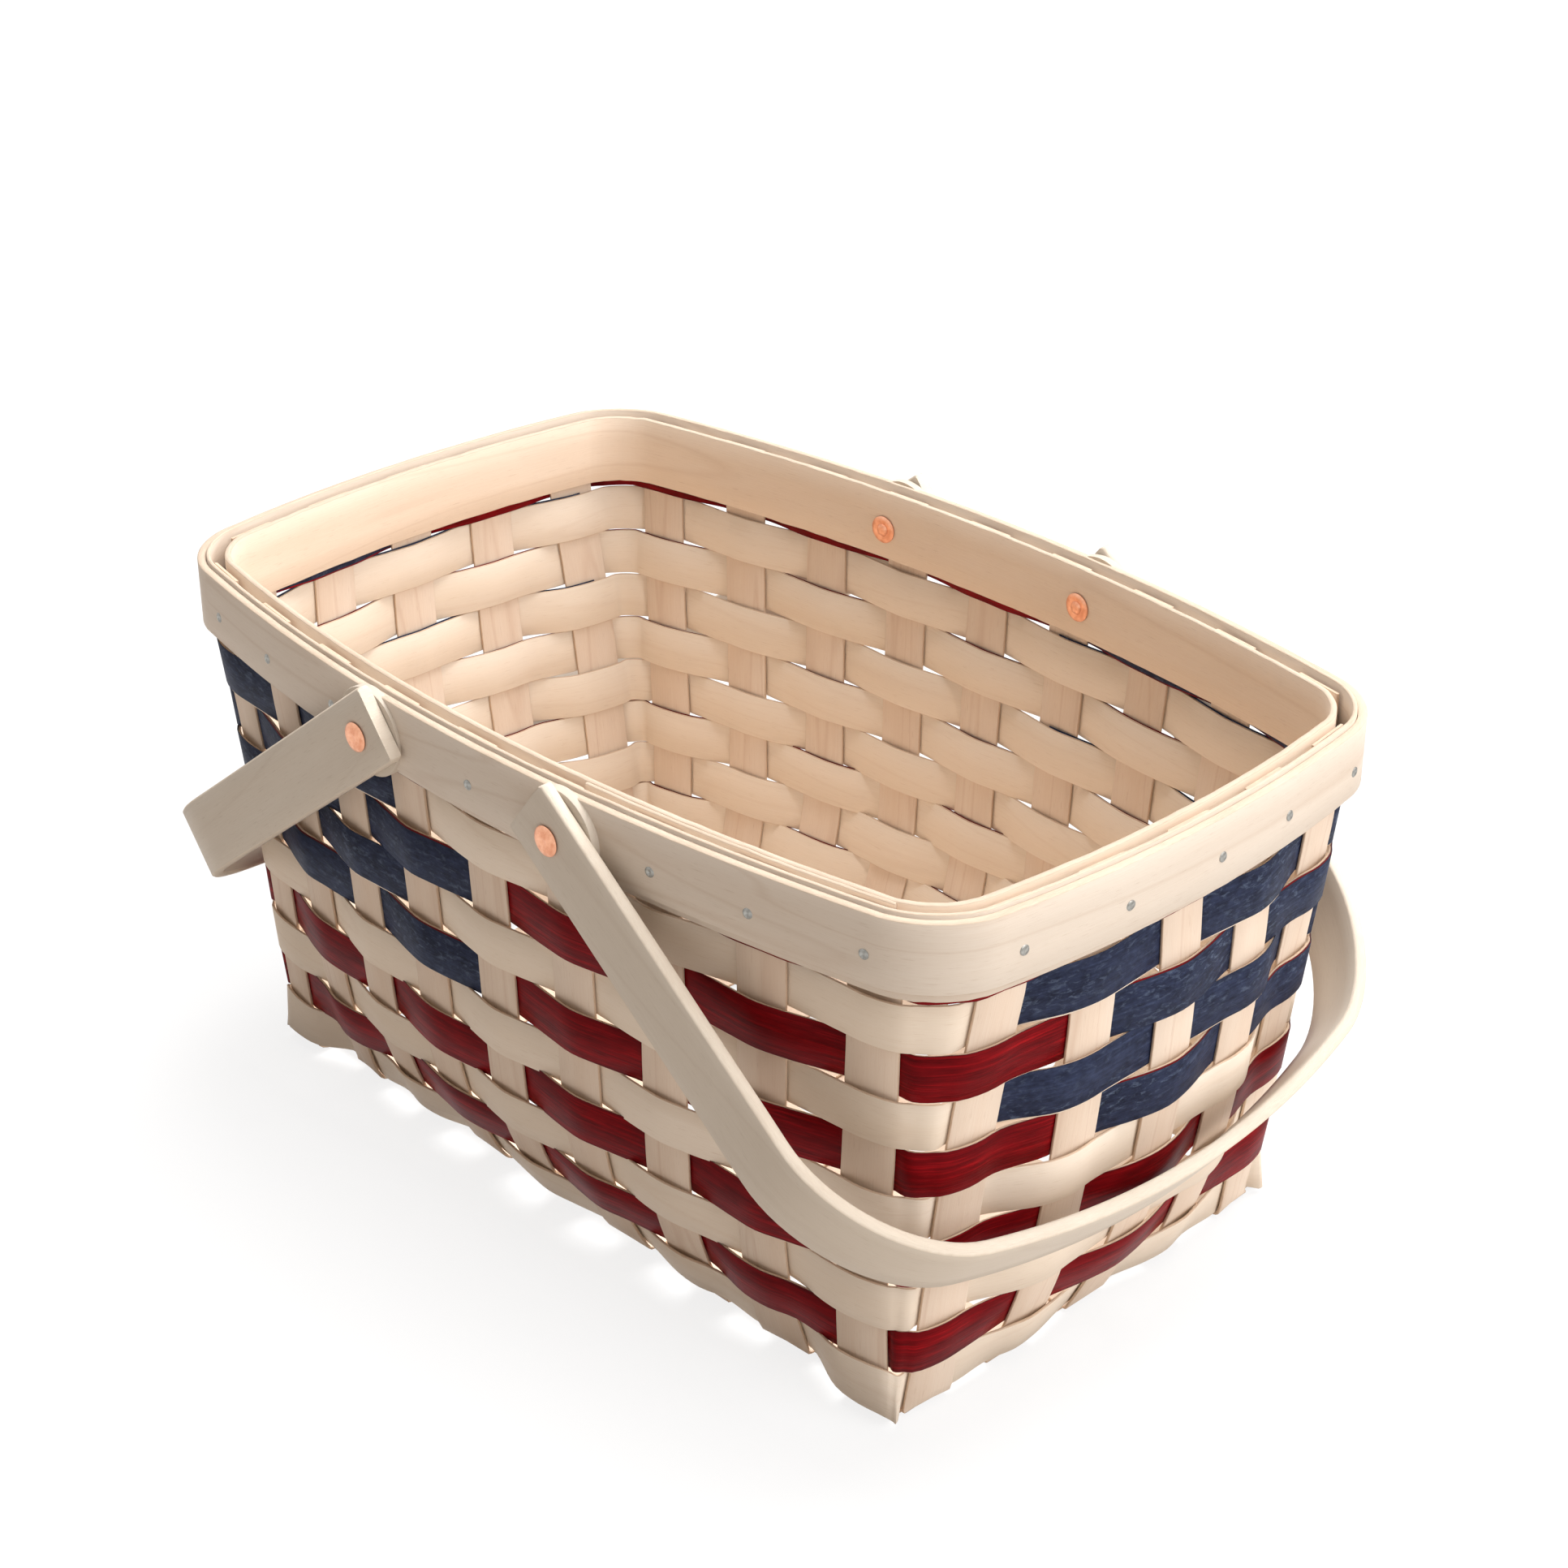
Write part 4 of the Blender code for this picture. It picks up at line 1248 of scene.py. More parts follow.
@dataclass(frozen=True)
class Weaving:
    """The ten rows of weaving and the stained strips on their outer faces."""

    plan: WeavePlan
    station_step: float = 0.0032
    strip_thickness: float = 0.00025
    strip_width_share: float = 0.985
    strip_lift: float = 0.00035
    corner_stations: tuple[float, ...] = (0.25, 0.5, 0.75)
    foot_corner_drop: float = 0.0031
    foot_corner_flare: float = 0.0045
    foot_drop_shares: tuple[float, ...] = (0.8, 1.0, 0.5)
    foot_flare_shares: tuple[float, ...] = (0.85, 1.0, 0.4)
    foot_stake_rise: float = 0.0020
    foot_stake_flare: float = 0.0025
    foot_stake_shares: tuple[float, ...] = (0.0, 0.5, 1.0)
    foot_clearance: float = 0.00015
    stain_peek: float = 0.0006
    uneven_share: float = 0.22
    strip_clearance: float = 0.00002
    strip_ease: float = 0.00006
    strip_lift_range: tuple[float, float] = (0.3, 1.2)
    run_overlap: float = 0.4
    seed_of_row: float = 1.37
    seed_of_stained_row: float = 2.11
    seed_of_layer: float = 0.7
    seed_of_stake: float = 0.13
    draws_of_row: int = 31
    blue_rows_alone: tuple[int, ...] = (7, 9)
    blue_rows_over_red: tuple[int, ...] = (6, 8)
    blue_run: int = 8

    def stained_runs(self) -> list[StainedRun]:
        """Lists which stretches of which rows are stained.

        Returns:
            The red rows, then the blue stretches at two opposite corners.
        """
        top = self.plan.row_count
        runs = [StainedRun(Stain.RED, row) for row in range(2, top, 2)]
        for corner in (FRONT_LEFT_STAKE, BACK_RIGHT_STAKE):
            last = corner + self.blue_run
            for row in self.blue_rows_alone:
                runs.append(StainedRun(Stain.BLUE, row, corner, last))
            for row in self.blue_rows_over_red:
                runs.append(StainedRun(Stain.BLUE, row, corner + 1, last + 1, 1))
            runs.append(StainedRun(Stain.BLUE, top, corner + 3, last + 1))
            runs.append(StainedRun(Stain.BLUE, top, corner + 2, last, inner=True))
        return runs

    def corner_keys(self, before: tuple[WallSide, PlaceRule, int],
                    after: tuple[WallSide, PlaceRule, int], height: float) -> list[Vector]:
        """Rounds a corner of the weave.

        Args:
            before: The last stake end of one wall.
            after: The first stake end of the next.
            height: Height above the floor.

        Returns:
            Points between the two stake ends.
        """
        plan = self.plan
        start_middle, start_tangent, _ = plan.stake(*before, height)
        end_middle, end_tangent, _ = plan.stake(*after, height)
        start = start_middle + start_tangent * plan.reach
        end = end_middle - end_tangent * plan.reach
        cross = start_tangent.x * end_tangent.y - start_tangent.y * end_tangent.x
        apart = end - start
        corner = start + start_tangent * (
            (apart.x * end_tangent.y - apart.y * end_tangent.x) / cross)
        tension = blend(plan.base_corner_tension, plan.top_corner_tension, plan.share(height))
        controls = [start, start.lerp(corner, tension), end.lerp(corner, tension), end]
        keys = []
        for share in self.corner_stations:
            line = controls
            while len(line) > 1:
                line = [first.lerp(second, share) for first, second in zip(line, line[1:])]
            keys.append(line[0])
        return keys

    def edge_keys(self, row: int, height: float, uneven: Sequence[float],
                  at_foot: bool) -> tuple[list[Vector], list[int]]:
        """Points along one edge of a row, once round the basket.

        Args:
            row: The row, 1 at the base.
            height: The edge's height.
            uneven: How much each crossing's bulge differs from the rule.
            at_foot: Whether the edge lies on the floor at the corners.

        Returns:
            The points, and the place of each crossing's middle among them.
        """
        plan = self.plan
        places = plan.crossings()
        under_rim = row == plan.row_count
        keys: list[Vector] = []
        middles: list[int] = []
        for order, place in enumerate(places):
            middle, tangent, outward = plan.stake(*place, height)
            outside = (order + row) % 2 == 1
            side = 1.0 if outside else -1.0
            bulge = 0.0 if under_rim else (plan.float_bulge if outside else plan.inner_bulge)
            bulge *= 1 + self.uneven_share * uneven[order]
            offset = plan.offset * plan.lean_factor(place, row)
            crossing = [middle - tangent * plan.reach + outward * side * offset,
                        middle + outward * side * (offset + bulge),
                        middle + tangent * plan.reach + outward * side * offset]
            following = places[(order + 1) % len(places)]
            meets_corner = following[0] is not place[0]
            follows_corner = places[order - 1][0] is not place[0]
            if at_foot and outside and (meets_corner or follows_corner):
                self.flare_foot(crossing if meets_corner else crossing[::-1], outward)
            middles.append(len(keys) + 1)
            keys.extend(crossing)
            if meets_corner:
                corner = self.corner_keys(place, following, height)
                if at_foot:
                    self.point_corner(corner, tangent - plan.stake(*following, height)[1])
                keys.extend(corner)
        return keys, middles

    def flare_foot(self, crossing: Sequence[Vector], outward: Vector) -> None:
        """Turns the first row's foot out and down over a stake, towards its corner.

        Args:
            crossing: The edge's points over the stake, the one at the corner last.
            outward: The wall's outward direction.
        """
        for point, share in zip(crossing, self.foot_stake_shares):
            point += outward * (self.foot_stake_flare * share)
            point.z += self.foot_stake_rise * (1 - share)

    def point_corner(self, corner: Sequence[Vector], outward: Vector) -> None:
        """Draws the first row's foot out to a point at a corner.

        Args:
            corner: The edge's points round the corner.
            outward: The direction away from the basket, of any length.
        """
        flare = outward.normalized() * self.foot_corner_flare
        shares = zip(corner, self.foot_flare_shares, self.foot_drop_shares)
        for point, flare_share, drop_share in shares:
            point += flare * flare_share
            point.z = max(point.z - self.foot_corner_drop * drop_share, self.foot_clearance)

    def row_stations(self, row: int) -> tuple[list[Station], list[int]]:
        """Lays out one row.

        Args:
            row: The row, 1 at the base.

        Returns:
            Its cross-sections and the place of each crossing among its key points.
        """
        plan = self.plan
        draw = random.Random(row)
        uneven = [draw.uniform(-1, 1) for _ in plan.crossings()]
        foot, top = plan.row_edges(row)
        low, middles = self.edge_keys(row, foot, uneven, row == 1)
        high, _ = self.edge_keys(row, top, uneven, False)
        return stations_between(low, high, True, self.station_step), middles

    def build(self, natural: Sequence[bpy.types.Material],
              red: Sequence[bpy.types.Material]) -> dict[int, tuple]:
        """Builds the ten hoops, of which the top one is red on both faces.

        Args:
            natural: The natural splint's face and edge materials.
            red: The red splint's face and edge materials.

        Returns:
            The stations and the crossings of each row.
        """
        plan = self.plan
        width = plan.row_pitch - plan.row_spacing
        rows = {}
        for row in range(1, plan.row_count + 1):
            stations, middles = self.row_stations(row)
            strip = Strip(width, plan.weaver_thickness)
            woods, slot = ((red, "red_splint") if row == plan.row_count
                           else (natural, "natural_splint"))
            piece = strip.object(f"row_{row:02d}_splint", stations, True,
                                 row * self.seed_of_row, woods)
            settle(piece, BASKET_BODY, slot, [f"weaver_{row:02d}"])
            rows[row] = (stations, middles)
        return rows

    def face_stations(self, stations: Sequence[Station], middles: Sequence[int],
                      run: StainedRun) -> tuple[list[Station], bool]:
        """Lays a stained strip on one face of a row.

        Args:
            stations: The row's cross-sections.
            middles: The place of each crossing among its key points.
            run: The strip.

        Returns:
            The strip's cross-sections, and whether it is a hoop.
        """
        plan = self.plan
        outset = (plan.weaver_thickness / 2 + self.strip_thickness * (run.layer + 0.5)
                  + self.strip_clearance)
        draw = random.Random(run.row * self.draws_of_row + run.layer)
        lift = self.strip_lift * draw.uniform(*self.strip_lift_range)
        if run.layer:
            lift = -lift
        if run.stain is Stain.BLUE and run.layer == 0:
            lift = self.stain_peek
        if run.inner:
            outset = -outset
        closed = run.first is None
        chosen = list(stations)
        if not closed:
            total = len(middles)
            start, end = middles[run.first % total], middles[run.last % total]
            start, end = start - self.run_overlap, end + self.run_overlap
            ring = [station for station in stations if station.key >= start]
            rest = [station for station in stations if station.key <= end]
            chosen = ring + rest if start > end else [
                station for station in ring if station.key <= end]
        distances = distances_along([station.point for station in chosen])
        moved = []
        for station, distance in zip(chosen, distances):
            point = station.point + station.normal * outset + station.across * lift
            moved.append(Station(point, station.across, station.normal, distance, station.key))
        return moved, closed

    def build_stained(self, rows: Mapping[int, tuple],
                      dyes: Mapping[Stain, Sequence[bpy.types.Material]]) -> None:
        """Builds the stained strips.

        Args:
            rows: The stations and crossings of each row.
            dyes: The face and edge materials of each stain.
        """
        plan = self.plan
        width = (plan.row_pitch - plan.row_spacing) * self.strip_width_share
        for run in self.stained_runs():
            stations, closed = self.face_stations(*rows[run.row], run)
            strip = Strip(width, self.strip_thickness, ease=self.strip_ease)
            seed = (run.row * self.seed_of_stained_row + run.layer * self.seed_of_layer
                    + (run.first or 0) * self.seed_of_stake)
            piece = strip.object(run.name, stations, closed, seed, dyes[run.stain])
            settle(piece, BASKET_BODY, "red_splint" if run.stain is Stain.RED else None)


@dataclass(frozen=True)
class Stakes:
    """The upright splints, woven through each other in the base and bent up the walls."""

    plan: WeavePlan
    bend_middle_share: float = 0.33
    bend_height_share: float = 0.15
    station_step: float = 0.0045
    waver: float = 0.00016
    cross_seed: float = 20
    cross_seed_step: float = 0.83
    long_seed: float = 30
    long_seed_step: float = 0.91

    def layer(self, low: bool) -> float:
        """Height of the middle of a stake in the flat of the base."""
        step = 0.0 if low else self.plan.stake_thickness + self.plan.gap
        return self.plan.stake_thickness / 2 + step

    def base_edges(self, line: Vector, layers: Sequence[float], places: Sequence[float],
                   travel: Vector, across: Vector) -> list[tuple[Vector, Vector]]:
        """Edge points of a stake in the base.

        Args:
            line: A point of its middle line.
            layers: Its height at each stake that it crosses.
            places: Where those stakes lie along it.
            travel: The direction that it runs in.
            across: The direction of its width.

        Returns:
            Two pairs of edge points for each crossing.
        """
        plan, half = self.plan, self.plan.stake_width / 2
        pairs = []
        for layer, place in zip(layers, places):
            for reach in (-plan.reach, plan.reach):
                spot = line + travel * (place + reach)
                edges = (spot - across * half, spot + across * half)
                pairs.append(tuple(
                    Vector((edge.x, edge.y, layer + plan.base_lift(edge.x, edge.y)))
                    for edge in edges))
        return pairs

    def wall_edges(self, side: WallSide, rule: PlaceRule, index: int,
                   base_end: Vector) -> list[tuple[Vector, Vector]]:
        """Edge points of a stake from its top down to its bend.

        Args:
            side: The wall that it runs up.
            rule: Where it stands along the wall.
            index: Which stake it is.
            base_end: Its middle where the base's weave ends.

        Returns:
            Its edge points, clockwise edge first.
        """
        half = self.plan.stake_width / 2
        pairs = []
        for height in reversed(self.plan.levels()):
            point, tangent, _ = self.plan.stake(side, rule, index, height)
            pairs.append((point - tangent * half, point + tangent * half))
        bend = point.lerp(base_end, self.bend_middle_share)
        bend.z = blend(base_end.z, point.z, self.bend_height_share)
        straight = Vector((round(tangent.x), round(tangent.y), 0.0))
        return pairs + [(bend - straight * half, bend + straight * half)]

    def stations(self, sides: tuple[WallSide, WallSide], rule: PlaceRule,
                 crossing_rule: PlaceRule, count: int, index: int, travel: Vector,
                 low_at_odd: int) -> list[Station]:
        """Cross-sections of a stake from one wall's top to the other's.

        Args:
            sides: The two walls that it runs up.
            rule: Where it stands along those walls.
            crossing_rule: Where the stakes that it crosses stand.
            count: How many it crosses.
            index: Which stake it is.
            travel: The direction that it runs in.
            low_at_odd: 1 if it lies low where the crossing's number is odd.

        Returns:
            The stake's cross-sections.
        """
        foot = self.plan.row_foot
        across = Vector((travel.y, -travel.x, 0.0))
        line = Vector((travel.y, travel.x, 0.0)) * rule(index, foot)
        layers = [self.layer((index + crossing) % 2 == low_at_odd)
                  for crossing in range(count)]
        places = [crossing_rule(crossing, foot) for crossing in range(count)]
        base = self.base_edges(line, layers, places, travel, across)
        near = self.wall_edges(sides[0], rule, index, (base[0][0] + base[0][1]) / 2)
        far = self.wall_edges(sides[1], rule, index, (base[-1][0] + base[-1][1]) / 2)
        pairs = near + base + [(second, first) for first, second in reversed(far)]
        made = stations_between([first for first, _ in pairs], [second for _, second in pairs],
                                False, self.station_step)
        for station in made:
            lean = abs(station.across.z) * self.plan.stake_width / 2
            station.point.z = max(station.point.z, self.layer(True) + lean)
        return made

    def build(self, woods: Sequence[bpy.types.Material]) -> None:
        """Builds every stake.

        Args:
            woods: The faces' material and the edges' material.
        """
        plan = self.plan
        strip = Strip(plan.stake_width, plan.stake_thickness, waver=self.waver)
        for index in range(plan.long_stakes):
            stations = self.stations((WallSide.FRONT, WallSide.BACK), plan.long_place,
                                     plan.short_place, plan.short_stakes, index,
                                     Vector((0.0, 1.0, 0.0)), 0)
            piece = strip.object(f"cross_splint_{index + 1}", stations, False,
                                 self.cross_seed + index * self.cross_seed_step, woods)
            settle(piece, BASKET_BODY, "stake_wood", [f"cross_stake_{index + 1}"])
        for index in range(plan.short_stakes):
            stations = self.stations((WallSide.LEFT, WallSide.RIGHT), plan.short_place,
                                     plan.long_place, plan.long_stakes, index,
                                     Vector((1.0, 0.0, 0.0)), 1)
            piece = strip.object(f"long_splint_{index + 1}", stations, False,
                                 self.long_seed + index * self.long_seed_step, woods)
            settle(piece, BASKET_BODY, "stake_wood", [f"long_stake_{index + 1}"])


# Rim


@dataclass(frozen=True)
class BandSize:
    """One hoop of the rim, by its middle's distance outside the weave surface."""

    name: str
    node: str
    outset: float
    thickness: float
    foot: float
    top: float
    waver: float
    seed: float


@dataclass(frozen=True)
class Rim:
    """The three hoops that clamp the top of the weave, and their nails."""

    plan: WeavePlan
    outer_height: float = 0.0241
    outer_thickness: float = 0.0030
    backing_thickness: float = 0.0015
    backing_proud: float = 0.0012
    backing_lip: float = 0.0042
    inner_thickness: float = 0.0022
    inner_height: float = 0.0268
    inner_proud: float = 0.0005
    weave_clearance: float = 0.0008
    corner_radius: float = 0.0250
    long_steps: int = 60
    short_steps: int = 30
    corner_steps: int = 12
    nail_drop: float = 0.0145
    nail_radius: float = 0.0018
    ease: float = 0.0003
    face_cuts: int = 3
    outer_waver: float = 0.00015
    backing_waver: float = 0.00025
    inner_waver: float = 0.00035
    waver_per_metre: float = 260.0
    outer_seed: float = 40.0
    backing_seed: float = 43.0
    inner_seed: float = 47.0
    lap_end: float = 0.168
    lap_start: float = 0.045
    lap_outset: float = 0.0008
    lap_height: float = 0.0075
    lap_thickness: float = 0.0015
    lap_waver: float = 0.0003
    lap_waver_per_metre: float = 300.0
    lap_seed: float = 51.0
    front_nails: tuple[float, ...] = (-0.156, -0.118, -0.074, 0.003, 0.085, 0.123, 0.164)
    right_nails: tuple[float, ...] = (-0.075, -0.033, 0.009, 0.044, 0.084)
    far_nail_shift: float = 0.002
    nail_draws: int = 24
    nail_unevenness: float = 0.0008
    nail_tilt: float = 0.06
    nail_wobble: float = 0.00006
    nail_seed_step: float = 1.7
    nail_segments: int = 28
    nail_shape: tuple[tuple[float, float], ...] = (
        (0.0, 0.00012), (0.18, 0.00014), (0.30, 0.00030), (0.62, 0.00034), (0.86, 0.00027),
        (1.0, 0.00008), (1.0, -0.0006), (0.4, -0.0016), (0.0, -0.0016))
    front_face_y: float = -0.09
    right_face_x: float = 0.17

    @property
    def backing_inner(self) -> float:
        """Outset of the backing band's inner face."""
        return self.plan.half_depth + self.weave_clearance

    @property
    def outer_inner(self) -> float:
        """Outset of the outer band's inner face."""
        return self.backing_inner + self.backing_thickness + self.plan.gap

    @property
    def face_outset(self) -> float:
        """Outset of the rim's outer face."""
        return self.outer_inner + self.outer_thickness

    @property
    def inner_outset(self) -> float:
        """Outset of the middle of the inner band, which is negative."""
        return -(self.plan.half_depth + self.weave_clearance + self.inner_thickness / 2)

    def outline(self, outset: float) -> list[Vector]:
        """Draws the plan of a band.

        Args:
            outset: Its distance outside the weave surface.

        Returns:
            Points once round the basket.
        """
        plan = self.plan
        radius = self.corner_radius - self.face_outset
        straight_x = plan.top_half_length - radius
        straight_y = plan.top_half_width - radius
        plain: list[tuple[float, float, float, float]] = []
        for step in range(self.long_steps):
            x = straight_x * (2 * step / self.long_steps - 1)
            plain.append((x, -plan.top_half_width, 0.0, -1.0))
        plain += self.corner(straight_x, -straight_y, -math.pi / 2, radius)
        for step in range(self.short_steps):
            y = straight_y * (2 * step / self.short_steps - 1)
            plain.append((plan.top_half_length, y, 1.0, 0.0))
        plain += self.corner(straight_x, straight_y, 0.0, radius)
        half_round = []
        for x, y, out_x, out_y in plain:
            along = min(abs(x) / plan.top_half_length, 1.0)
            across = min(abs(y) / plan.top_half_width, 1.0)
            bowed_x = x + math.copysign(along * plan.top_end_bow * (1 - across ** 2), x)
            bowed_y = y + math.copysign(across * plan.top_side_bow * (1 - along ** 2), y)
            half_round.append(Vector((bowed_x + outset * out_x, bowed_y + outset * out_y, 0.0)))
        return half_round + [-point for point in half_round]

    def corner(self, middle_x: float, middle_y: float, first: float,
               radius: float) -> list[tuple[float, float, float, float]]:
        """Rounds one corner of the plan.

        Args:
            middle_x: X of the corner's middle.
            middle_y: Y of the corner's middle.
            first: The angle that it starts at.
            radius: Its radius.

        Returns:
            Each point's X and Y, and its outward direction's X and Y.
        """
        made = []
        for step in range(self.corner_steps):
            angle = first + math.pi / 2 * step / self.corner_steps
            out = (math.cos(angle), math.sin(angle))
            made.append((middle_x + radius * out[0], middle_y + radius * out[1], *out))
        return made

    def bands(self) -> list[BandSize]:
        """Sizes the three bands.

        Returns:
            The outer, the backing and the inner band.
        """
        top = self.plan.rim_height
        foot = top - self.outer_height
        inner_top = top + self.inner_proud
        return [
            BandSize("outer_rim_band", "rim_outer_band",
                     self.outer_inner + self.outer_thickness / 2, self.outer_thickness,
                     foot, top, self.outer_waver, self.outer_seed),
            BandSize("backing_rim_band", "rim_backing_band",
                     self.backing_inner + self.backing_thickness / 2,
                     self.backing_thickness, foot - self.backing_lip,
                     top + self.backing_proud, self.backing_waver, self.backing_seed),
            BandSize("inner_rim_band", "rim_inner_band", self.inner_outset,
                     self.inner_thickness, inner_top - self.inner_height, inner_top,
                     self.inner_waver, self.inner_seed),
        ]

    def band_stations(self, outset: float, foot: float, top: float,
                      chosen: Callable[[Vector], bool] | None = None) -> list[Station]:
        """Lays out a band.

        Args:
            outset: Its middle's distance outside the weave surface.
            foot: Height of its lower edge.
            top: Height of its upper edge.
            chosen: Which points of the plan it takes, if it isn't a whole hoop.

        Returns:
            Its cross-sections.
        """
        points = self.outline(outset)
        middle = Vector((0.0, 0.0, (foot + top) / 2))
        up = Vector((0.0, 0.0, 1.0))
        line = zip(points, directions_along(points, True), distances_along(points))
        return [Station(point + middle, up, direction.cross(up), distance)
                for point, direction, distance in line if chosen is None or chosen(point)]

    def build(self, outer: Sequence[bpy.types.Material],
              inner: Sequence[bpy.types.Material]) -> None:
        """Builds the bands and the lapped end of the inner one.

        Args:
            outer: The outer bands' face and edge materials.
            inner: The inner band's face and edge materials.
        """
        for band in self.bands():
            woods = inner if band.outset < 0 else outer
            stations = self.band_stations(band.outset, band.foot, band.top)
            strip = Strip(band.top - band.foot, band.thickness, self.ease, self.face_cuts,
                          band.waver, self.waver_per_metre)
            piece = strip.object(band.name, stations, True, band.seed, woods)
            settle(piece, BASKET_BODY, "rim_wood", [band.node])
        self.build_lap(inner)

    def build_lap(self, woods: Sequence[bpy.types.Material]) -> None:
        """Builds the end of the inner band, lapped over its own start.

        Args:
            woods: The faces' material and the edges' material.
        """
        top = self.plan.rim_height + self.inner_proud
        outset = self.inner_outset + self.inner_thickness / 2 + self.lap_outset
        stations = self.band_stations(
            outset, top - self.lap_height, top,
            lambda point: point.y < 0 and self.lap_start < point.x < self.lap_end)
        strip = Strip(self.lap_height, self.lap_thickness, self.ease, waver=self.lap_waver,
                      waver_per_metre=self.lap_waver_per_metre)
        piece = strip.object("inner_rim_lapped_end", stations, False, self.lap_seed, woods)
        settle(piece, BASKET_BODY, "rim_wood")

    def nail_places(self) -> list[tuple[WallSide, float]]:
        """Lists the nails.

        Returns:
            The wall and the distance along it of every nail.
        """
        walls = ((WallSide.FRONT, self.front_nails, 0.0),
                 (WallSide.RIGHT, self.right_nails, 0.0),
                 (WallSide.BACK, self.front_nails, self.far_nail_shift),
                 (WallSide.LEFT, self.right_nails, -self.far_nail_shift))
        return [(side, along + shift) for side, nails, shift in walls for along in nails]

    def build_nails(self, steel: bpy.types.Material) -> None:
        """Builds the small nails through the rim.

        Args:
            steel: Their material.
        """
        draw = random.Random(self.nail_draws)
        profile = [(self.nail_radius * share, height) for share, height in self.nail_shape]
        for number, (side, along) in enumerate(self.nail_places(), 1):
            point, outward = self.face_point(OPPOSITE.get(side, side), along)
            if side in OPPOSITE:
                point, outward = -point, -outward
            point.z = (self.plan.rim_height - self.nail_drop
                       + draw.uniform(-self.nail_unevenness, self.nail_unevenness))
            nail = turned(f"rim_nail_{number:02d}", profile, self.nail_segments, steel,
                          self.nail_wobble, number * self.nail_seed_step)
            tilt = Vector([draw.uniform(-self.nail_tilt, self.nail_tilt) for _ in range(3)])
            facing(nail, point, (outward + tilt).normalized())
            settle(nail, BASKET_BODY)

    def face_point(self, side: WallSide, along: float) -> tuple[Vector, Vector]:
        """Finds a point on the rim's outer face.

        Args:
            side: The wall, front or right.
            along: Distance from the wall's middle.

        Returns:
            The point, at no height, and the outward direction.
        """
        points = self.outline(self.face_outset)
        axis = 0 if side is WallSide.FRONT else 1
        edge = [(points[index - 1], points[index]) for index in range(len(points))]
        for start, end in edge:
            on_side = (start.y < self.front_face_y if side is WallSide.FRONT
                       else start.x > self.right_face_x)
            if on_side and start[axis] <= along < end[axis]:
                share = (along - start[axis]) / (end[axis] - start[axis])
                tangent = (end - start).normalized()
                return start.lerp(end, share), Vector((tangent.y, -tangent.x, 0.0))
        raise ValueError(f"no rim face at {along} on {side.value}")


# Handles and their fastenings


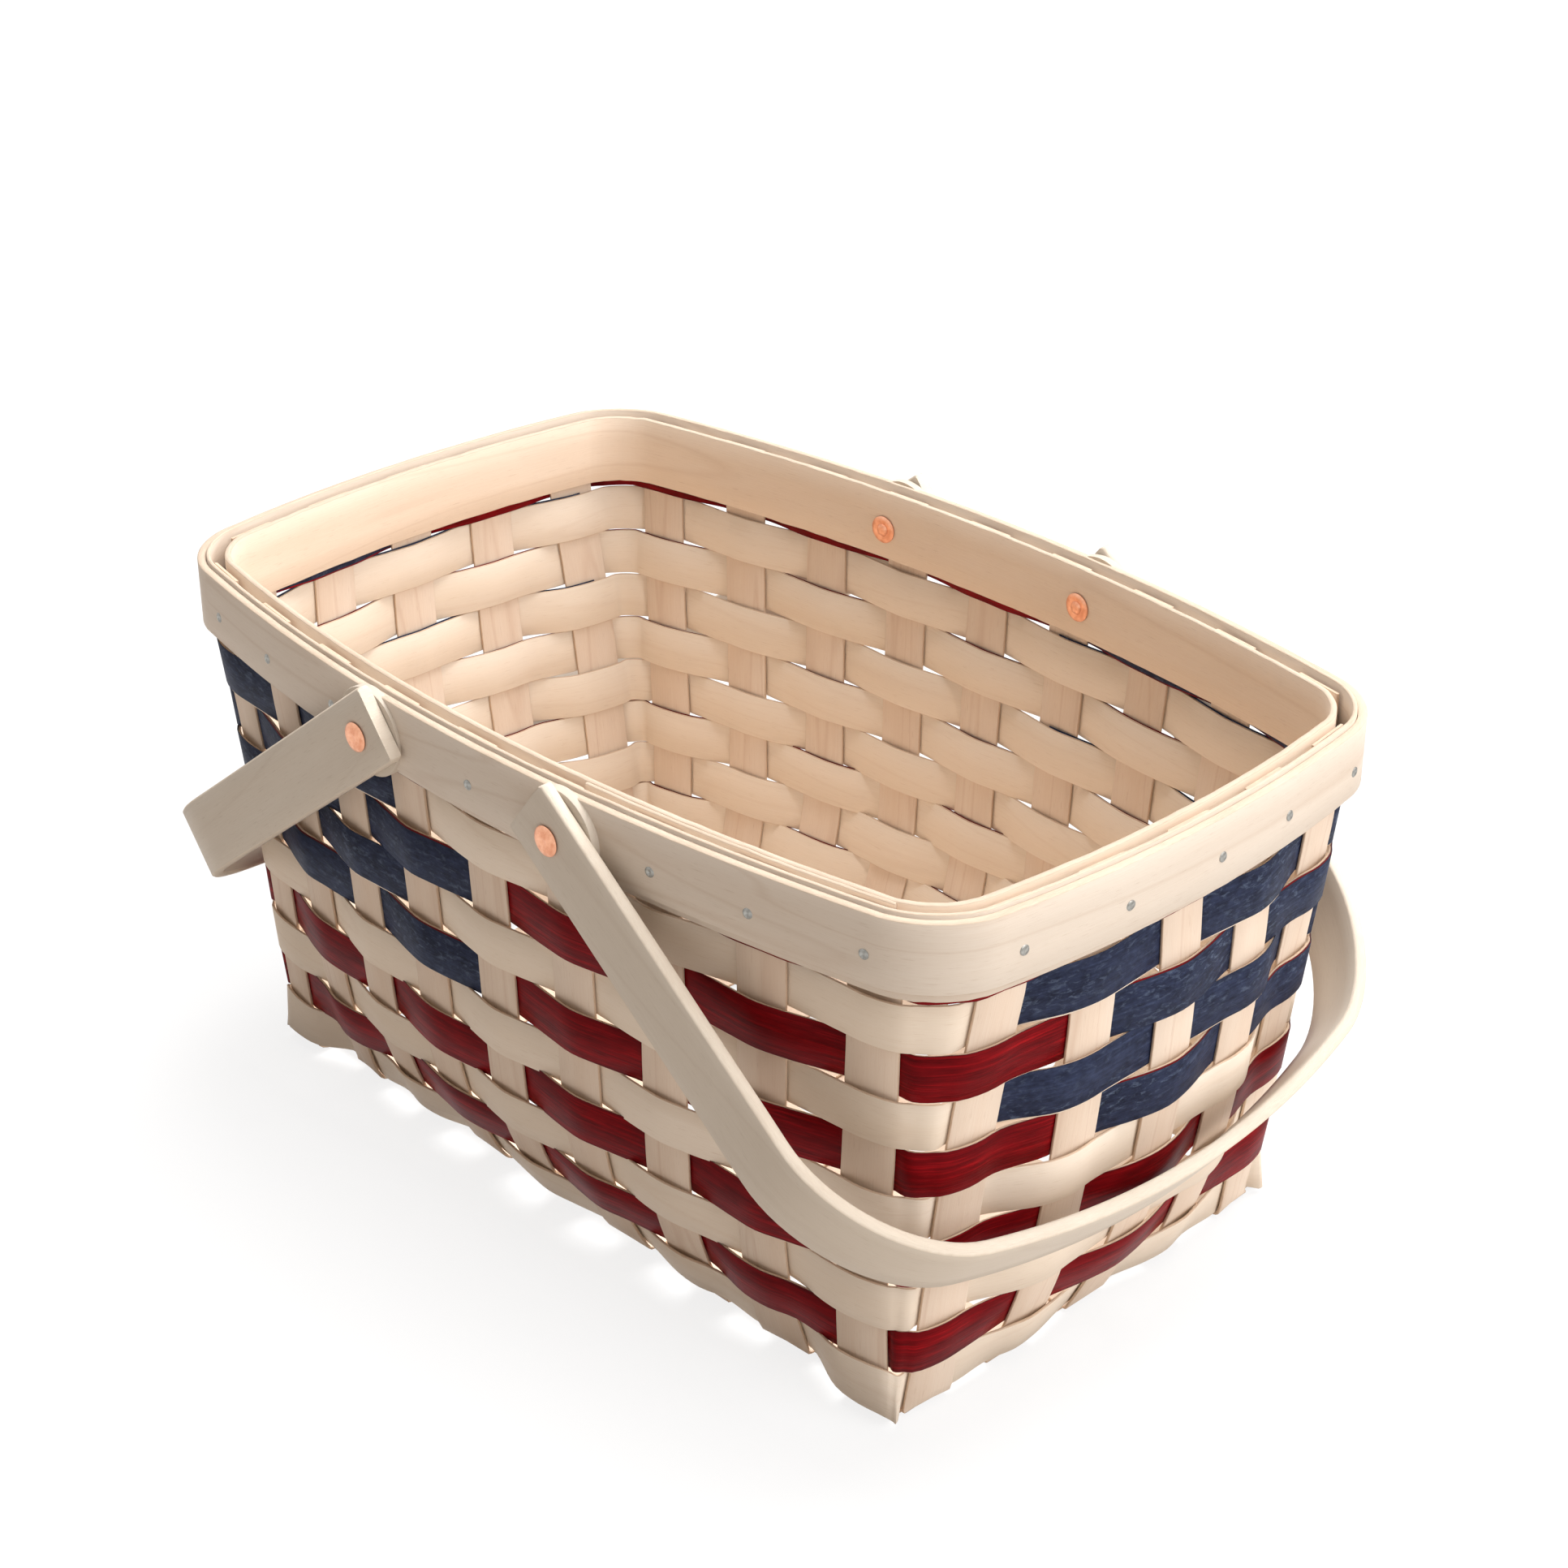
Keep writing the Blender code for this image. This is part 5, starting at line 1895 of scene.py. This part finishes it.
@dataclass(frozen=True)
class Fastening:
    """Where a handle's end is riveted to the rim."""

    pivot_x: float = 0.0485
    pivot_drop: float = 0.0145
    spacer_radius: float = 0.0158
    spacer_thickness: float = 0.0016
    head_radius: float = 0.0052
    head_height: float = 0.00135
    shank_radius: float = 0.0020
    burr_radius: float = 0.0053
    burr_thickness: float = 0.0009
    gap: float = 0.0003
    shank_length: float = 0.006
    head_shape: tuple[tuple[float, float], ...] = (
        (0.0, 0.80), (0.10, 0.82), (0.20, 0.93), (0.26, 0.985), (0.34, 1.0), (0.42, 0.97),
        (0.50, 0.91), (0.56, 0.90), (0.62, 0.91), (0.70, 0.86), (0.80, 0.74), (0.90, 0.58),
        (0.97, 0.40), (1.0, 0.22), (0.985, 0.04), (0.94, 0.0))
    peened_shape: tuple[tuple[float, float], ...] = (
        (0.0, 0.00075), (0.20, 0.00072), (0.36, 0.00045), (0.43, 0.00012))
    burr_shape: tuple[tuple[float, float], ...] = (
        (0.47, 0.82), (0.62, 1.0), (0.78, 0.96), (0.93, 0.70), (1.0, 0.35), (1.0, 0.0),
        (0.0, 0.0))
    head_segments: int = 56
    head_wobble: float = 0.00003
    head_seed: float = 100
    burr_segments: int = 48
    burr_wobble: float = 0.00012
    burr_seed: float = 70
    spacer_segments: int = 72
    spacer_reach: float = 0.0018
    spacer_ease: float = 0.0005
    spacer_round: float = 0.00015
    grain_place: float = 60.0

    def handle_inner_y(self, rim: Rim) -> float:
        """Finds where a handle's arm runs.

        Args:
            rim: The rim that it hangs from.

        Returns:
            Distance of its inner face from the middle plane.
        """
        point, _, _ = rim.plan.wall(WallSide.BACK, self.pivot_x,
                                    rim.plan.rim_height - self.pivot_drop, rim.face_outset)
        return point.y + self.gap + self.spacer_thickness + self.gap

    def head_profile(self) -> list[tuple[float, float]]:
        """Draws the rivet's head with its turned rings.

        Returns:
            Radius and height of its points, from the crown to the shank's end.
        """
        points = [(self.head_radius * radius, self.head_height * height)
                  for radius, height in self.head_shape]
        return points + [(self.shank_radius, 0.0), (self.shank_radius, -self.shank_length),
                         (0.0, -self.shank_length)]

    def burr_profile(self) -> list[tuple[float, float]]:
        """Draws the burr, with the peened end of the shank standing in its middle.

        Returns:
            Radius and height of its points, from the peened end to the burr's foot.
        """
        peened = [(self.burr_radius * radius, self.burr_thickness + height)
                  for radius, height in self.peened_shape]
        return peened + [(self.burr_radius * radius, self.burr_thickness * height)
                         for radius, height in self.burr_shape]

    def build(self, rim: Rim, wood: Sequence[bpy.types.Material],
              copper: bpy.types.Material) -> None:
        """Builds the four sets of spacer disc, rivet and burr.

        Args:
            rim: The rim that they pass through.
            wood: The spacer discs' face and edge materials.
            copper: The rivets' and burrs' material.
        """
        plan = rim.plan
        height = plan.rim_height - self.pivot_drop
        inner = self.handle_inner_y(rim)
        handle_thickness = SwingHandle.thickness
        for front in (True, False):
            for right in (True, False):
                end = f"{'front' if front else 'back'}_{'right' if right else 'left'}"
                outward = Vector((0.0, -1.0 if front else 1.0, 0.0))
                x = self.pivot_x * (1 if right else -1)
                axis = Vector((x, 0.0, height))
                self.build_spacer(end, axis + outward * inner, outward, wood)
                rivet = turned(f"rivet_head_{end}", self.head_profile(), self.head_segments,
                               copper, self.head_wobble, x * self.head_seed)
                facing(rivet, axis + outward * (inner + handle_thickness + self.gap), outward)
                settle(rivet, BASKET_BODY, "copper", [f"rivet_{end}"])
                side = WallSide.FRONT if front else WallSide.BACK
                face, _, out = plan.wall(side, x, height,
                                         rim.inner_outset - rim.inner_thickness / 2)
                burr = turned(f"rivet_burr_{end}", self.burr_profile(), self.burr_segments,
                              copper, self.burr_wobble, x * self.burr_seed + inner)
                facing(burr, face - out * self.gap, -out)
                settle(burr, BASKET_BODY, "copper", [f"burr_{end}"])

    def build_spacer(self, end: str, inner: Vector, outward: Vector,
                     wood: Sequence[bpy.types.Material]) -> None:
        """Builds the wooden disc between a handle's end and the rim.

        Args:
            end: Which of the four ends it is.
            inner: The middle of the handle arm's inner face there.
            outward: The direction away from the basket.
            wood: The face and edge materials.
        """
        radius, top = self.spacer_radius, -self.gap
        foot = top - self.spacer_thickness - self.spacer_reach
        profile = [(0.0, top), (radius - self.spacer_ease, top),
                   (radius - self.spacer_round, top - self.spacer_round),
                   (radius, top - self.spacer_ease), (radius, foot), (0.0, foot)]
        disc = turned(f"spacer_disc_{end}", profile, self.spacer_segments, wood[0])
        self.map_flat(disc)
        facing(disc, inner, outward)
        settle(disc, BASKET_BODY, "handle_wood", [f"spacer_{end}"])

    def map_flat(self, piece: bpy.types.Object) -> None:
        """Lays a disc's grain straight across it.

        Args:
            piece: The disc.
        """
        mesh = piece.data
        layer = mesh.uv_layers.new(name=GRAIN_MAP)
        for loop in mesh.loops:
            point = mesh.vertices[loop.vertex_index].co
            layer.uv[loop.index].vector = (point.x + self.grain_place,
                                              point.y + point.z)


@dataclass(frozen=True)
class SwingHandle:
    """A bent wooden handle that hangs over one end of the basket."""

    name: str
    body: str
    node: str
    turn: float
    width: float = 0.0268
    rim_pass: float = 0.0235
    grip_bow: float = 0.02557
    end_length: float = 0.0132
    end_insets: tuple[tuple[float, float], ...] = ((0.0132, 0.0010), (0.0130, 0.0006),
                                                   (0.0126, 0.0002))
    corner_radius: float = 0.0450
    rest_angle: float = math.radians(37.82443)
    arm_steps: int = 26
    corner_steps: int = 18
    grip_steps: int = 44
    thickness: float = 0.0046
    end_start: float = 0.0012
    ease: float = 0.0007
    face_cuts: int = 4
    waver: float = 0.00010
    waver_per_metre: float = 40.0
    seed: float = 55.0
    drill_length: float = 0.4
    drill_segments: int = 32

    def path(self, rim: Rim, fastening: Fastening) -> list[tuple[float, float]]:
        """Draws the handle's middle line.

        Args:
            rim: The rim that it hangs from.
            fastening: Its rivets.

        Returns:
            Each point's reach from the pivot and place along the pivot's axis.
        """
        half_span = fastening.handle_inner_y(rim) + self.thickness / 2
        full_reach = (rim.plan.top_half_length + rim.face_outset + self.rim_pass
                      - fastening.pivot_x)
        reach = full_reach - self.thickness / 2
        radius = self.corner_radius - self.thickness / 2
        path = [(-along, -half_span) for along, _ in self.end_insets]
        for step in range(self.arm_steps):
            path.append((blend(self.end_start - self.end_length, reach - radius,
                               step / self.arm_steps), -half_span))
        for step in range(self.corner_steps + 1):
            angle = math.pi / 2 * step / self.corner_steps
            path.append((reach - radius + radius * math.sin(angle),
                         -half_span + radius - radius * math.cos(angle)))
        straight = half_span - radius
        for step in range(1, self.grip_steps // 2 + 1):
            path.append((reach, straight * (2 * step / self.grip_steps - 1)))
        bowed = []
        for along, across in path:
            share = 1 - (across / half_span) ** 2
            bowed.append((along + self.grip_bow * share * max(along / reach, 0.0), across))
        return bowed + [(along, -across) for along, across in reversed(bowed[:-1])]

    def build(self, rim: Rim, fastening: Fastening,
              woods: Sequence[bpy.types.Material]) -> None:
        """Builds the handle at rest.

        Args:
            rim: The rim that it hangs from.
            fastening: Its rivets.
            woods: The faces' material and the edges' material.
        """
        pivot = Vector((fastening.pivot_x * math.cos(self.turn), 0.0,
                        rim.plan.rim_height - fastening.pivot_drop))
        place = (Matrix.Translation(pivot) @ Matrix.Rotation(self.turn, 4, "Z")
                 @ Matrix.Rotation(self.rest_angle, 4, "Y"))
        points = [Vector((along, across, 0.0)) for along, across in
                  self.path(rim, fastening)]
        up = Vector((0.0, 0.0, 1.0))
        turn_only = place.to_3x3()
        line = zip(points, directions_along(points, False), distances_along(points))
        stations = []
        for index, (point, direction, distance) in enumerate(line):
            from_end = min(index, len(points) - 1 - index)
            inset = self.end_insets[from_end][1] if from_end < len(self.end_insets) else 0.0
            stations.append(Station(place @ point, turn_only @ up,
                                    turn_only @ direction.cross(up), distance, inset=inset))
        strip = Strip(self.width, self.thickness, self.ease, self.face_cuts, self.waver,
                      self.waver_per_metre)
        piece = strip.object(self.name, stations, False, self.seed + self.turn, woods)
        self.bore(piece, pivot, fastening)
        settle(piece, self.body, "handle_wood", [self.node])

    def bore(self, piece: bpy.types.Object, pivot: Vector, fastening: Fastening) -> None:
        """Drills the rivet holes through both ends.

        Args:
            piece: The handle.
            pivot: The middle of the line through both rivets.
            fastening: The rivets.
        """
        name = self.name + "_bore"
        radius = fastening.shank_radius + fastening.gap
        shape = bmesh.new()
        bmesh.ops.create_cone(shape, cap_ends=True, segments=self.drill_segments,
                              radius1=radius, radius2=radius, depth=self.drill_length,
                              matrix=Matrix.Translation(pivot)
                              @ Matrix.Rotation(math.pi / 2, 4, "X"))
        cutter = place_in_scene(name, mesh_from(shape, name))
        cut = piece.modifiers.new("rivet holes", "BOOLEAN")
        cut.operation = "DIFFERENCE"
        cut.solver = "EXACT"
        cut.object = cutter
        graph = bpy.context.evaluated_depsgraph_get()
        bored = bpy.data.meshes.new_from_object(piece.evaluated_get(graph))
        piece.modifiers.clear()
        piece.data = bored
        bpy.data.objects.remove(cutter)


# Studio


@dataclass(frozen=True)
class SoftBox:
    """A square lamp that points at the basket, by its width and its power in watts."""

    name: str
    place: tuple[float, float, float]
    size: float
    power: float


@dataclass(frozen=True)
class Studio:
    """Floor, soft light and camera."""

    camera_place: tuple[float, float, float] = (0.69215, -0.65057, 0.64376)
    camera_turn: tuple[float, float, float] = (61.883, 0.0, 46.117)
    lens: float = 70.282
    sensor: float = 36.0
    ambient: float = 0.27
    ambient_colour: Colour = (1.0, 0.88, 0.78)
    floor_white_share: float = 0.82
    floor_bounce: Colour = (0.58, 0.54, 0.50)
    floor_size: float = 8.0
    nearest_seen: float = 0.01
    aim: tuple[float, float, float] = (0.0, 0.0, 0.10)
    soft_boxes: tuple[SoftBox, ...] = (
        SoftBox("key_soft_box", (3.3, 0.7, 1.75), 3.0, 100.0),
        SoftBox("back_soft_box", (-0.1, 1.3, 3.8), 4.0, 290.0))

    def seen_directly(self, tree: NodeTree) -> Socket:
        """Tells rays that show the background from those that only light the basket.

        Args:
            tree: The tree that is filled in.

        Returns:
            1 for camera, glossy and transmission rays, 0 for the rest.
        """
        path = tree.node("ShaderNodeLightPath")
        return (tree.out(path, "Is Camera Ray") + tree.out(path, "Is Glossy Ray")
                + tree.out(path, "Is Transmission Ray")).clamped()

    def build_world(self) -> None:
        """Sets plain light all round with a white background."""
        world = bpy.data.worlds.new("studio")
        bpy.context.scene.world = world
        tree = empty_tree(world)
        soft = tree.node("ShaderNodeBackground", None,
                         {"Color": self.ambient_colour, "Strength": self.ambient})
        white = tree.node("ShaderNodeBackground", None, {"Color": WHITE, "Strength": 1.0})
        mixed = tree.node("ShaderNodeMixShader", None, {0: self.seen_directly(tree),
                                                        1: tree.out(soft), 2: tree.out(white)})
        tree.node("ShaderNodeOutputWorld", None, {"Surface": tree.out(mixed)})

    def build_floor(self) -> None:
        """Makes the white floor, which keeps the basket's shadow."""
        material = bpy.data.materials.new("studio_floor")
        tree = empty_tree(material)
        seen = self.seen_directly(tree)
        colour = tree.colour_between(seen, self.floor_bounce, WHITE)
        matt = tree.node("ShaderNodeBsdfDiffuse", None, {"Color": colour})
        white = tree.node("ShaderNodeEmission", None, {"Color": WHITE, "Strength": 1.0})
        mixed = tree.node("ShaderNodeMixShader", None,
                          {0: seen * self.floor_white_share, 1: tree.out(matt),
                           2: tree.out(white)})
        tree.node("ShaderNodeOutputMaterial", None, {"Surface": tree.out(mixed)})
        shape = bmesh.new()
        bmesh.ops.create_grid(shape, x_segments=1, y_segments=1, size=self.floor_size / 2)
        mesh = mesh_from(shape, "studio_floor")
        mesh.materials.append(material)
        floor = place_in_scene("studio_floor", mesh)

    def build_lamp(self, box: SoftBox) -> None:
        """Hangs one soft box.

        Args:
            box: The soft box.
        """
        light = bpy.data.lights.new(box.name, "AREA")
        light.shape = "SQUARE"
        light.size = box.size
        light.energy = box.power
        lamp = place_in_scene(box.name, light)
        lamp.location = box.place
        lamp.rotation_mode = "QUATERNION"
        direction = Vector(self.aim) - Vector(box.place)
        lamp.rotation_quaternion = direction.to_track_quat("-Z", "Y")

    def build_camera(self) -> None:
        """Sets the camera at the photograph's viewing angle."""
        camera = place_in_scene("camera", bpy.data.cameras.new("camera"))
        camera.data.lens = self.lens
        camera.data.sensor_width = self.sensor
        camera.data.clip_start = self.nearest_seen
        camera.location = self.camera_place
        camera.rotation_euler = [math.radians(turn) for turn in self.camera_turn]
        bpy.context.scene.camera = camera

    def build(self) -> None:
        """Builds the whole studio."""
        bpy.context.scene.view_settings.view_transform = "Standard"
        self.build_camera()
        self.build_world()
        self.build_floor()
        for box in self.soft_boxes:
            self.build_lamp(box)


def main() -> None:
    """Builds the basket and its studio, in order."""
    logging.basicConfig(level=logging.INFO, format="%(message)s")
    for name in [thing.name for thing in bpy.data.objects if thing.type in ("CAMERA", "LIGHT")]:
        bpy.data.objects.remove(bpy.data.objects[name])
    Studio().build()

    stake_woods = [STAKE_WOOD.material(), SPLINT_EDGE.material()]
    splint_woods = [SPLINT_WOOD.material(), stake_woods[1]]
    rim_woods = [RIM_WOOD.material(), RIM_EDGE_WITH_PAINTED_SHADE.material()]
    handle_woods = [HANDLE_WOOD.material(), HANDLE_EDGE.material()]
    dyes = {stain: [STAINED[stain].material(), STAIN_EDGE[stain].material()]
            for stain in Stain}
    copper, steel = COPPER.material(), GALVANISED.material()

    plan = WeavePlan()
    Stakes(plan).build(stake_woods)
    weaving = Weaving(plan)
    rows = weaving.build(splint_woods, dyes[Stain.RED])
    weaving.build_stained(rows, dyes)
    rim = Rim(plan)
    rim.build(rim_woods, [INNER_BAND_WOOD_WITH_PAINTED_BOUNCE.material(), rim_woods[1]])
    rim.build_nails(steel)
    fastening = Fastening()
    fastening.build(rim, handle_woods, copper)
    for handle in (SwingHandle("bent_handle_right", "right_handle", "right_handle", 0.0),
                   SwingHandle("bent_handle_left", "left_handle", "left_handle", math.pi)):
        handle.build(rim, fastening, handle_woods)


if __name__ == "__main__":
    main()
